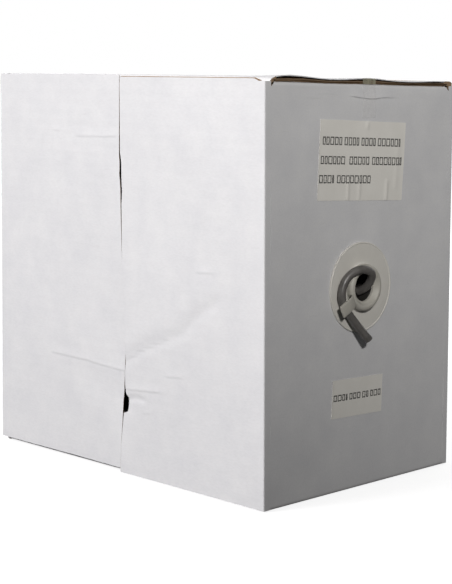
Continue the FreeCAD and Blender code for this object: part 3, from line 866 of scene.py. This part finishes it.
def inner_flap(name, side, top, papers):
    """A short flap behind the outer ones, from just past its crease to its crushed free edge."""
    def surface(y, height, depth):
        z = HEIGHT - height if top else height
        crushed = CRUSHED * eased((height - 0.015) / 0.02)
        return racked(np.stack((side * (TUBE_HALF - depth * (1 - crushed)), y, z), -1))

    along = spaced(-INNER_FLAP_HALF, INNER_FLAP_HALF, FLUTE_PITCH / 4)
    coarse = spaced(-INNER_FLAP_HALF, INNER_FLAP_HALF, 0.008)
    up = spaced(CREASE_REACH, INNER_FLAP_LENGTH, 0.003)
    shape = flap_layers(surface, along, up, coarse, up, False)
    stand_in(make_object(name + "_board", shape, papers, 50.0), name, "board", name)


def crease_strip(flap, start, corner, finish, length_axis, span, radius, end_slot, papers):
    """The board round a corner, from start by corner to finish, drawn out along length_axis over span.

    Its outer face is white, its ends have end_slot and the rest is brown.
    """
    start, corner, finish = (np.array(point, float) for point in (start, corner, finish))
    way_in = (corner - start) / np.linalg.norm(corner - start)
    way_out = (finish - corner) / np.linalg.norm(finish - corner)
    steps = spaced(*span, 0.0035, (-INNER_FLAP_HALF, INNER_FLAP_HALF) if length_axis == 1 else ())
    axis = np.zeros(3)
    axis[length_axis] = 1.0

    def surface(depth):
        turn = max(radius - depth, 0.0001)
        run = CREASE_REACH - max(radius, depth + 0.0001)
        outline = [start + way_in * t + way_out * depth for t in np.linspace(0, run, 3)]
        centre = start + way_in * run + way_out * (depth + turn)
        for angle in np.linspace(0, math.pi / 2, 9)[1:-1]:
            outline.append(centre + (way_in * math.sin(angle) - way_out * math.cos(angle)) * turn)
        for t in np.linspace(CREASE_REACH - run, CREASE_REACH, 3):
            outline.append(corner + way_out * t - way_in * depth)
        points = np.array(outline)[:, None, :] + steps[None, :, None] * axis
        if length_axis == 1:
            points = shallow_ends(points, corner[2], depth)
        return racked(points)

    parts = [
        slab(surface(0.0), surface(LINER), 0, end_slot),
        slab(surface(LINER + HAIR), surface(BOARD - LINER - HAIR), 1, end_slot),
        slab(surface(BOARD - LINER), surface(BOARD), 1, 1),
    ]
    rows = len(surface(0.0)) - 1
    columns = len(steps) - 1
    cells = rows * columns
    sides = 2 * cells
    parts[0][2][cells:sides] = 1
    middle_slots = parts[1][2]
    middle_slots[cells:] = 1
    middle_slots[sides:sides + rows] = end_slot
    middle_slots[sides + rows + columns:sides + 2 * rows + columns] = end_slot
    made = make_object(flap + "_crease", joined(parts), papers, 60.0)
    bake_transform(made)


def shallow_ends(points, level, depth):
    """Past its flap an inner flap's crease is no deeper than the board. The top one follows the raw edge."""
    past = np.abs(points[..., 1]) > INNER_FLAP_HALF + 1e-6
    squeeze = (BOARD - 0.00005) / CREASE_REACH
    points[..., 2] = np.where(past, level + (points[..., 2] - level) * squeeze, points[..., 2])
    if level > 0:
        points[..., 2] += raw_edge_lift(points[..., 0], points[..., 1], depth)
        splay = 0.003
        near_front = np.exp(-(points[..., 1] + DEPTH / 2) / 0.006)
        near_corner = np.clip((points[..., 0] - 0.09) / 0.008, 0, 1)
        points[..., 0] += splay * near_corner * near_front
    return points


def flaps(papers):
    """The eight flaps and their creases."""
    front_base, rear_base = FLAP_BASES
    for name, side, end, base, raised, edge, overhang, creases, fine, seed in (
        ("left_front_flap", -1, -1, front_base, 0.0017, NEAR_EDGE, 0.0, NEAR_CREASES, True, 0.4),
        ("left_rear_flap", -1, 1, rear_base, 0.0, FAR_EDGE, 0.005, FAR_CREASES, True, 1.6),
        ("right_front_flap", 1, -1, front_base, 0.0, PLAIN_NEAR_EDGE, 0.0, RIGHT_CREASES, False, 2.3),
        ("right_rear_flap", 1, 1, rear_base, 0.0, PLAIN_FAR_EDGE, 0.001, RIGHT_CREASES, False, 3.1),
    ):
        outer_flap(name, side, end, base, raised, edge, overhang, creases, fine, seed, papers)
        panel_point = (side * (WIDTH / 2 - CREASE_REACH), end * DEPTH / 2, 0.0)
        corner = (side * WIDTH / 2, end * DEPTH / 2, 0.0)
        flap_point = (side * WIDTH / 2, end * (DEPTH / 2 - CREASE_REACH), 0.0)
        span = (base, base + FLAP_HEIGHT)
        crease_strip(name, panel_point, corner, flap_point, 2, span, 0.0012, 0, papers)
    for side, side_name in ((-1, "left"), (1, "right")):
        for top, end_name in ((False, "bottom"), (True, "top")):
            name = f"{side_name}_{end_name}_inner_flap"
            inner_flap(name, side, top, papers)
            level = HEIGHT if top else 0.0
            panel_point = (side * (TUBE_HALF - CREASE_REACH), 0.0, level)
            corner = (side * TUBE_HALF, 0.0, level)
            flap_point = (side * TUBE_HALF, 0.0, level - CREASE_REACH if top else CREASE_REACH)
            span = (-0.1498 if top else -0.1461, 0.1461)
            crease_strip(name, panel_point, corner, flap_point, 1, span, 0.0030, 1, papers)


# ---------------------------------------------------------------- labels and tape
def hollow_blocks(bars, rng):
    """Each bar broken into plain blocks of uneven width."""
    blocks = []
    for start, finish in bars:
        here = start
        while here < finish - LEAST_BLOCK:
            after = min(finish, here + rng.uniform(*BLOCK_WIDTHS))
            blocks.append((here, after))
            here = after + STROKE
    return blocks


def label(name, size, centre, tilt, rows, ripples, looks):
    """A paper label that follows the panel, with rows of plain hollow blocks on it."""
    width, height = size
    rng = np.random.default_rng(len(rows))
    rows = [(low, high, hollow_blocks(bars, rng)) for low, high, bars in rows]
    u_edges = [edge for row in rows for block in row[2]
               for edge in (block[0], block[0] + STROKE, block[1] - STROKE, block[1])]
    v_edges = [edge for row in rows for edge in (row[0], row[0] + STROKE, row[1] - STROKE, row[1])]
    u_values = spaced(-width / 2, width / 2, 1.1, u_edges)
    v_values = spaced(-height / 2, height / 2, 1.1, v_edges)
    u, v = np.meshgrid(u_values, v_values, indexing="ij")
    # The paper's place on the panel, its upright ripples and its curled sides
    angle = math.radians(tilt)
    x = (centre[0] + u * math.cos(angle) + v * math.sin(angle)) * MM
    z = (centre[1] - u * math.sin(angle) + v * math.cos(angle)) * MM
    lift = np.zeros_like(u)
    fade = 4.0
    for middle, half_width, rise, low, high in ripples:
        ends = np.clip((v - low) / fade + 0.5, 0, 1) * np.clip((high - v) / fade + 0.5, 0, 1)
        lift += rise * MM * np.exp(-(((u - middle) / half_width) ** 2)) * ends
    curled = 3.0
    curl = np.clip((np.abs(u) - width / 2 + curled) / curled, 0, 1) ** 2 * 0.00012
    panel = np.stack((x, -DEPTH / 2 - front_panel_shift(x, z), z), -1)
    out = (racked(panel) - panel)[..., 1] + panel[..., 1] - HAIR
    back = np.stack((x, out, z), -1)
    face = np.stack((x, out - LABEL_THICKNESS - lift - curl, z), -1)
    points, faces, slots = slab(face, back, 0, 0)
    # Printed cells are those in a block's outline
    middles_u = (u_values[:-1] + u_values[1:]) / 2
    middles_v = (v_values[:-1] + v_values[1:]) / 2
    printed = np.zeros((len(middles_u), len(middles_v)), bool)
    for low, high, bars in rows:
        in_row = (middles_v > low) & (middles_v < high)
        hollow = (middles_v > low + STROKE) & (middles_v < high - STROKE)
        for start, finish in bars:
            block = (middles_u > start) & (middles_u < finish)
            inside = (middles_u > start + STROKE) & (middles_u < finish - STROKE)
            printed |= np.outer(block, in_row) & ~np.outer(inside, hollow)
    slots[:printed.size] = np.where(printed.ravel(), 1, 0)
    made = make_object(name + "_paper", (points, faces, slots), looks, 60.0)
    stand_in(made, "carton", "label_paper", name)


def seal_tape(films):
    """Clear tape up the front panel, across the raw edge and a little way onto the top."""
    # Each row is y, z and 1 where the film follows the raw edge
    profile = [(-0.15, z, 0) for z in np.arange(TAPE_BOTTOM, 0.2925, 0.0006)]
    profile += [(-0.1500, 0.2942, 0), (-0.1499, 0.2962, 0), (-0.1500, 0.2980, 1), (-0.1500, 0.2995, 1)]
    edge_rows = (len(profile) - 3, len(profile))
    profile += [(-0.1497, 0.2999, 1), (-0.1490, 0.3000, 1)]
    profile += [(y, 0.3000, 1) for y in np.arange(-0.147, TAPE_END + 0.001, 0.003)]
    x_values = np.linspace(*TAPE_RANGE, 12)
    grids = []
    for off in TAPE_FACES:
        grid = np.zeros((len(profile), len(x_values), 3))
        for row, (y, z, over) in enumerate(profile):
            lift = raw_edge_lift(x_values, y, 0.0) * over
            if over and y > -0.1499:
                grid[row] = np.stack((x_values, np.full_like(x_values, y), z + lift + off), -1)
            else:
                shift = front_panel_shift(x_values, np.full_like(x_values, z)) * (1 - over)
                grid[row] = np.stack((x_values, y - shift - off, z + lift * (z > 0.299)), -1)
        grids.append(racked(grid))
    points, faces, slots = slab(*grids, 0, 0)
    columns = len(x_values) - 1
    slots[edge_rows[0] * columns:edge_rows[1] * columns] = 1
    made = make_object("seal_tape_film", (points, faces, slots), films, 60.0)
    stand_in(made, "carton", "clear_tape", "seal_tape")


# ---------------------------------------------------------------- horn
def arc(centre, radius, first, last, steps):
    """Points round an arc in the profile's plane, in millimetres and degrees."""
    angles = np.radians(np.linspace(first, last, steps))
    return [(centre[0] + radius * math.cos(a), centre[1] + radius * math.sin(a)) for a in angles]


def lathe(profile, segments):
    """A closed profile of radius and height out, in millimetres, turned about the port's axis."""
    profile = np.array(profile) * MM
    angles = np.linspace(0, 2 * math.pi, segments, endpoint=False)
    radius = profile[:, 0][:, None]
    out = np.repeat(profile[:, 1][:, None], segments, 1)
    points = np.stack((PORT.x + radius * np.cos(angles), PORT.y - out, PORT.z + radius * np.sin(angles)), -1)
    return points.reshape(-1, 3), ring_faces(len(profile), segments, True)[:, ::-1]


def outlet_horn(plastic, shaded_bore_plastic):
    """Flange with its rolled rim, rounded lip with its funnel, spigot, and the hook that traps the cable; the
    bore takes near-black plastic as painted shade for the dark throat.
    """
    profile = [(11.8, 0.0), (13.0, 0.0), (24.0, 0.0), (32.6, 0.0)]
    profile += arc((32.5, 0.5), 0.5, -60, 0, 4)
    profile += arc((32.3, 1.15), 0.7, 0, 150, 10)
    profile += [(31.2, 1.5), (30.4, 1.57), (25.0, 1.6), (20.0, 1.65)]
    profile += arc((18.4, 2.85), 1.2, -90, -180, 6)
    profile += [(17.2, 3.6), (17.18, 4.2)]
    profile += arc((14.2, 4.6), 3.0, 0, 90, 10)
    profile += arc((13.9, 6.6), 1.0, 90, 148, 5)
    profile += [(12.2, 5.9), (11.2, 5.1)]
    profile += arc((11.15, 3.9), 1.1, 142, 180, 5)
    # From here on the profile is the bore, in near-black plastic: painted shade for the dark throat.
    bore_start = len(profile)
    profile += [(10.05, 2.6), (10.05, 0.0), (10.1, -8.0), (10.15, -21.6), (10.6, -22.0), (11.5, -22.0)]
    profile += [(11.8, -21.6), (11.8, -10.0)]
    points, faces = lathe(profile, HORN_SEGMENTS)
    slots = np.repeat(np.arange(len(profile)) >= bore_start, HORN_SEGMENTS).astype(int)
    body = make_object("outlet_horn_body", (points, faces, slots), [plastic, shaded_bore_plastic], 35.0)
    tab = hook_shape(plastic)
    union = body.modifiers.new("union", "BOOLEAN")
    union.operation = "UNION"
    union.solver = "MANIFOLD"
    union.object = tab
    bpy.context.view_layer.update()
    whole = bpy.data.meshes.new_from_object(body.evaluated_get(bpy.context.evaluated_depsgraph_get()))
    body.modifiers.clear()
    body.data = whole
    whole.shade_smooth()
    whole.set_sharp_from_angle(angle=math.radians(38))
    bpy.data.objects.remove(tab)
    stand_in(body, "carton", "horn_plastic", "outlet_horn")


def hook_shape(plastic):
    """The hook: a riser in the lip's wall and a flat tab over the cable, its edges rounded."""
    mesh = bmesh.new()
    outline = [
        (13.9, 3.4), (16.8, 3.4), (17.2, 6.9), (19.0, 8.2), (32.2, 8.3), (33.1, 8.9), (33.1, 9.8),
        (32.5, 10.4), (23.6, 10.3), (20.0, 9.5), (17.0, 8.1), (14.9, 7.3), (13.9, 6.2),
    ]
    rings = []
    for across in (-HOOK_HALF_WIDTH, HOOK_HALF_WIDTH):
        rings.append([mesh.verts.new((r * MM, across * MM, out * MM)) for r, out in outline])
    near, far = rings
    mesh.faces.new(near)
    mesh.faces.new(list(reversed(far)))
    for a, b, c, d in zip(near, near[1:] + near[:1], far, far[1:] + far[:1]):
        mesh.faces.new((b, a, c, d))
    bmesh.ops.recalc_face_normals(mesh, faces=mesh.faces)
    edges = [edge for edge in mesh.edges if edge.calc_face_angle(0) > math.radians(25)]
    bmesh.ops.bevel(mesh, geom=edges, offset=0.0007, segments=3, profile=0.5, affect="EDGES")
    turned = Matrix.Rotation(math.radians(HOOK_ANGLE), 4, "Z")
    upright = Matrix.Rotation(math.radians(90.0), 4, "X")
    mesh.transform(Matrix.Translation(PORT) @ upright @ turned)
    data = bpy.data.meshes.new("hook")
    mesh.to_mesh(data)
    mesh.free()
    data.materials.append(plastic)
    return linked("hook", data)


# ---------------------------------------------------------------- cable
def cable_curve(name, route, jacket):
    """A round cable on one smooth line with the route's points as its control points."""
    data = bpy.data.curves.new(name, "CURVE")
    data.dimensions = "3D"
    data.bevel_depth = CABLE_DIAMETER / 2
    data.bevel_resolution = 8
    data.resolution_u = 14
    spline = data.splines.new("NURBS")
    spline.points.add(len(route) - 1)
    for point, place in zip(spline.points, route):
        point.co = (*(value * MM for value in place), 1.0)
    spline.order_u = 3
    spline.use_endpoint_u = True
    data.materials.append(jacket)
    return linked(name, data)


def end_frame():
    """The cut end: its centre, the way the cable points there, and two directions across it."""
    tip = Vector(LEAD_ROUTE[-1]) * MM
    along = (tip - Vector(LEAD_ROUTE[-2]) * MM).normalized()
    side = along.cross(Vector((0, 1, 0))).normalized()
    return tip, along, side, along.cross(side)


def rod(centres, radius, side, across, sides, slot):
    """A closed round rod along centres, with flat ends, as points, faces and slots."""
    circle = ring(sides, side, across) * radius
    points = np.concatenate([centre + circle for centre in centres] + [[centres[0], centres[-1]]])
    last = (len(centres) - 1) * sides
    middle = len(points) - 2
    faces = [ring_faces(len(centres), sides, False)]
    for k in range(0, sides, 2):
        a, b, c = k, (k + 1) % sides, (k + 2) % sides
        faces.append(np.array([(c, b, a, middle), (last + a, last + b, last + c, middle + 1)]))
    faces = np.concatenate(faces)
    return points, faces, np.full(len(faces), slot)


def jacket_wall(tip, along, circle):
    """The jacket's wall at the cut, turned about the cable's line: along the outside, over the cut and in."""
    back = CUT_DEPTH - 0.0004
    edge = 0.00012
    rows = (
        (JACKET_OUTER, CUT_DEPTH), (JACKET_OUTER, 0.00015), (JACKET_OUTER - edge, 0.0),
        (JACKET_INNER + 0.0001, 0.0), (JACKET_INNER, edge), (JACKET_INNER, back), (HAIR, back),
        (HAIR, CUT_DEPTH),
    )
    points = np.concatenate([tip + circle * radius - along * depth for radius, depth in rows])
    faces = ring_faces(len(rows), len(circle), True)
    return points, faces, np.zeros(len(faces))


def cut_end(jacket, insulation, copper, core):
    """What shows at the cut end: the jacket's wall, eight wires in four twisted pairs, and the filler."""
    tip, along, side, across = (np.array(each) for each in end_frame())
    wall = jacket_wall(tip, along, ring(40, side, across))
    wires, metals = [], []
    for pair in range(4):
        angle = math.radians(45 + 90 * pair)
        middle = (side * math.cos(angle) + across * math.sin(angle)) * PAIR_OFFSET
        for half in (0, 1):
            centres = []
            for step in np.linspace(CUT_DEPTH - 0.0006, 0.0, 9):
                twist = angle + math.radians(60 + 35 * pair) + math.pi * half - step / PAIR_LAY * 2 * math.pi
                offset = (side * math.cos(twist) + across * math.sin(twist)) * WIRE_OFFSET
                centres.append(tip - along * step + middle + offset)
            stripped = [centre - along * 0.00008 for centre in centres]
            wires.append(rod(stripped, WIRE_RADIUS, side, across, 16, pair * 2 + half))
            metals.append(rod(centres, COPPER_RADIUS, side, across, 14, 0))
    wall_piece = make_object("lead_jacket_end", wall, [jacket], 40.0)
    wire_piece = make_object("lead_wires", joined(wires), insulation, 40.0)
    metal_piece = make_object("lead_wire_copper", joined(metals), [copper], 40.0)
    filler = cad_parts["lead_filler"]
    filler.data.materials.clear()
    filler.data.materials.append(core)
    stand_in(wall_piece, "carton", "cable_jacket")
    stand_in(wire_piece, "carton", "conductor_insulation", "lead_conductors")
    stand_in(metal_piece, "carton", "copper", "lead_copper")
    return [wall_piece, wire_piece, metal_piece, filler]


def cable_lead(jacket, insulation, copper, core):
    """The free end: out of the throat, over the lip, round it and under the hook, ending cut off."""
    lead = cable_curve("lead_cable", LEAD_ROUTE, jacket)
    stand_in(lead, "carton", "cable_jacket", "cable_lead")
    pieces = cut_end(jacket, insulation, copper, core)


def cable_run(jacket):
    """The cable from the inside of the coil through the payout tube to the horn."""
    stand_in(cable_curve("run_cable", RUN_ROUTE, jacket), "carton", "cable_jacket", "cable_run")


# ---------------------------------------------------------------- coil
def coil_layer(layer, rng):
    """Centres of one layer's turns, as one line, with the angle of each round the coil."""
    radius = COIL_INNER + CABLE_DIAMETER / 2 + COIL_GAP
    radius += layer * (COIL_OUTER - COIL_INNER - CABLE_DIAMETER - 3 * COIL_GAP) / (COIL_LAYERS - 1)
    turns = COIL_TURNS_LEFT + COIL_TURNS_RIGHT
    place = np.arange(turns * STEPS_PER_TURN + 1) / STEPS_PER_TURN
    angle = 2 * math.pi * place
    travel = place if layer % 2 == 0 else turns - place
    edge = COIL_HALF_WIDTH - CABLE_DIAMETER / 2 - COIL_GAP
    x = -edge + 2 * edge * travel / turns
    # The front of the coil is at angle 0: there the turns part round the payout hole
    gap = COIL_HOLE + CABLE_DIAMETER / 2 + 2 * COIL_GAP
    height = radius * np.sin(angle) - (PORT.z - COIL_CENTRE.z)
    parted_height = 0.026
    part = np.where(np.cos(angle) > 0.3, np.exp(-((height / parted_height) ** 4)), 0.0)
    left = travel < COIL_TURNS_LEFT
    split = -edge + 2 * edge * COIL_TURNS_LEFT / turns
    squeezed_left = -edge + (x + edge) * (PORT.x - gap + edge) / (split + edge)
    squeezed_right = edge - (edge - x) * (edge - PORT.x - gap) / (edge - split)
    x = x + (np.where(left, squeezed_left, squeezed_right) - x) * part
    # Four draws a layer, of which the first is used
    phase = rng.uniform(-1, 1, size=(4,))[0]
    waver = 0.00012
    x = x + waver * np.sin(angle * 1.37 + phase) * (1 - part)
    y = COIL_CENTRE.y - radius * np.cos(angle)
    z = COIL_CENTRE.z + radius * np.sin(angle)
    return np.stack((x, y, z), -1), angle


def cable_coil(jacket):
    """About 100 m of cable in six layers of turns, parted at the front for the payout tube."""
    rng = np.random.default_rng(5)
    around = np.linspace(0, 2 * math.pi, COIL_SIDES, endpoint=False) + math.pi / COIL_SIDES
    parts = []
    for layer in range(COIL_LAYERS):
        centres, angle = coil_layer(layer, rng)
        radial = np.stack((np.zeros_like(angle), -np.cos(angle), np.sin(angle)), -1)
        sideways = np.array((1.0, 0.0, 0.0))
        circle = radial[:, None, :] * np.cos(around)[None, :, None] + sideways * np.sin(around)[None, :, None]
        points = centres[:, None, :] + circle * (CABLE_DIAMETER / 2)
        faces = np.roll(ring_faces(len(centres), COIL_SIDES, False)[:, ::-1], 1, 1)
        first = np.array([(0, 1, 2, 3), (0, 3, 4, 7), (4, 5, 6, 7)])
        last = (len(centres) - 1) * COIL_SIDES + first[:, ::-1]
        faces = np.concatenate((faces, first, last))
        parts.append((points.reshape(-1, 3), faces, np.zeros(len(faces), int)))
    stand_in(make_object("coil_turns", joined(parts), [jacket], 50.0), "carton", "cable_jacket", "cable_coil")


# ---------------------------------------------------------------- light and floor
def light(name, kind, place, target, power, colour, **settings):
    """A light at place, turned to target."""
    data = bpy.data.lights.new(name, kind)
    data.energy = power
    data.color = colour
    for key, value in settings.items():
        setattr(data, key, value)
    made = linked(name, data)
    made.location = place
    made.rotation_mode = "QUATERNION"
    made.rotation_quaternion = (Vector(target) - Vector(place)).to_track_quat("-Z", "Y")


def surroundings():
    """White to the camera, and a dim pale sky to everything else."""
    world = bpy.data.worlds.new("studio")
    bpy.context.scene.world = world
    world.use_nodes = True
    tree = world.node_tree
    tree.nodes.clear()
    output = node(tree, "ShaderNodeOutputWorld")
    seen = node(tree, "ShaderNodeBackground", inputs={"Color": (1, 1, 1, 1), "Strength": 1.0})
    place = node(tree, "ShaderNodeTexCoord")
    split = node(tree, "ShaderNodeSeparateXYZ")
    tree.links.new(place.outputs["Generated"], split.inputs["Vector"])
    sky = ramp(tree, split.outputs["Z"], [(0.0, (0.035, 0.035, 0.036)), (0.6, (0.10, 0.10, 0.10))])
    lighting = node(tree, "ShaderNodeBackground")
    tree.links.new(sky, lighting.inputs["Color"])
    rays = node(tree, "ShaderNodeLightPath")
    choice = node(tree, "ShaderNodeMixShader")
    tree.links.new(rays.outputs["Is Camera Ray"], choice.inputs["Fac"])
    tree.links.new(lighting.outputs["Background"], choice.inputs[1])
    tree.links.new(seen.outputs["Background"], choice.inputs[2])
    tree.links.new(choice.outputs["Shader"], output.inputs["Surface"])


def pale_floor():
    """A floor with a glow of its own that rises away from the carton and so meets the white around it."""
    mesh = bpy.data.meshes.new("floor")
    reach = 14.0
    corners = [(-reach, -reach, 0), (reach, -reach, 0), (reach, reach, 0), (-reach, reach, 0)]
    mesh.from_pydata(corners, [], [(0, 1, 2, 3)])
    pale, tree, shader = new_material("pale_floor", (0.30, 0.30, 0.30), 0.9, Specular_IOR_Level=0.0)
    shader.inputs["Emission Color"].default_value = (1.0, 1.0, 1.0, 1.0)
    distance = node(tree, "ShaderNodeVectorMath", operation="LENGTH")
    tree.links.new(stretched_coordinates(tree, (1, 1, 1)), distance.inputs[0])
    glow = ranged(tree, distance.outputs["Value"], 0.25, 1.3, 0.83, 1.02, "SMOOTHSTEP")
    tree.links.new(glow, shader.inputs["Emission Strength"])
    mesh.materials.append(pale)
    floor = linked("floor", mesh)
    floor.location.z = -0.0004
    floor.visible_diffuse = False
    floor.visible_glossy = False


def studio():
    """A bright wall of light on the left, a lamp high on the left of the front, and pale surroundings."""
    light("side_light", "AREA", (-3.3, 1.15, 1.85), (-0.1, 0.05, 0.15), 158.0, (1.0, 0.985, 1.0),
          shape="DISK", size=1.7)
    light("front_lamp", "SPOT", (-1.10, -1.63, 0.93), (0.40, -0.15, 0.66), 118.0, (1.0, 0.985, 0.965),
          spot_size=math.radians(60.0), spot_blend=1.0, shadow_soft_size=0.08)
    light("right_fill", "AREA", (2.2, 0.5, 1.2), (0.1, 0.0, 0.15), 22.0, (1.0, 1.0, 1.0),
          shape="DISK", size=1.8)
    light("rear_fill", "AREA", (0.2, 2.6, 1.3), (0.0, 0.15, 0.15), 30.0, (1.0, 1.0, 1.0),
          shape="DISK", size=1.8)
    surroundings()
    pale_floor()
    bpy.context.scene.view_settings.view_transform = "Standard"


def finish_nodes(plastic, film):
    """Materials for the CAD nodes that stay as they are."""
    ties = ["coil_tie_" + place for place in ("front_top", "front_bottom", "rear_bottom", "rear_top")]
    # The payout tube takes the near-black plastic passed in: painted shade for the dark throat.
    for name, look in [("payout_tube", plastic)] + [(tie, film) for tie in ties]:
        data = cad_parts[name].data
        data.materials.clear()
        data.materials.append(look)
        data.shade_smooth()
        data.set_sharp_from_angle(angle=math.radians(35))


def wire_colours():
    """Blue, orange, green and brown, each with its pale partner."""
    made = []
    for hue, colour in (
        ("blue", (0.03, 0.12, 0.50)), ("orange", (0.75, 0.22, 0.03)),
        ("green", (0.03, 0.30, 0.08)), ("brown", (0.20, 0.08, 0.03)),
    ):
        pale = tuple(0.62 + 0.3 * value for value in colour)
        made += [wire_insulation("wire_" + hue, colour), wire_insulation("wire_white_" + hue, pale)]
    return made


def build():
    """Camera and cords first, then the carton from the outside in, then the light."""
    make_camera()
    jacket = cable_jacket()
    insulation = wire_colours()
    core = moulded_plastic("filler_plastic", (0.74, 0.74, 0.72), (0.80, 0.80, 0.78), 0.5, 0.05)
    cable_lead(jacket, insulation, cut_copper(), core)
    cable_run(jacket)
    papers = [white_liner(), kraft()]
    carton_tube(papers)
    flaps(papers)
    looks = [label_paper(), label_ink()]
    label("contents_label", rows=CONTENTS_ROWS, ripples=LABEL_RIPPLES, looks=looks, **CONTENTS_LABEL)
    label("code_label", rows=CODE_ROWS, ripples=[], looks=looks, **CODE_LABEL)
    seal_tape([
        clear_film("clear_tape", (0.93, 0.91, 0.90), 0.045, 0.25),
        clear_film("clear_tape_over_edge", (0.46, 0.44, 0.32), 0.50, 0.12),
    ])
    # Near-black plastic for the bore and the payout tube: painted shade for the dark throat.
    throat_shade_plastic = moulded_plastic("tube_plastic", (0.020, 0.019, 0.017), (0.034, 0.032, 0.029), 0.5, 0.0)
    outlet_horn(horn_plastic(), throat_shade_plastic)
    cable_coil(jacket)
    finish_nodes(throat_shade_plastic, clear_film("coil_tape", (0.80, 0.80, 0.78), 0.75, 0.22))
    studio()


build()
bpy.context.view_layer.update()
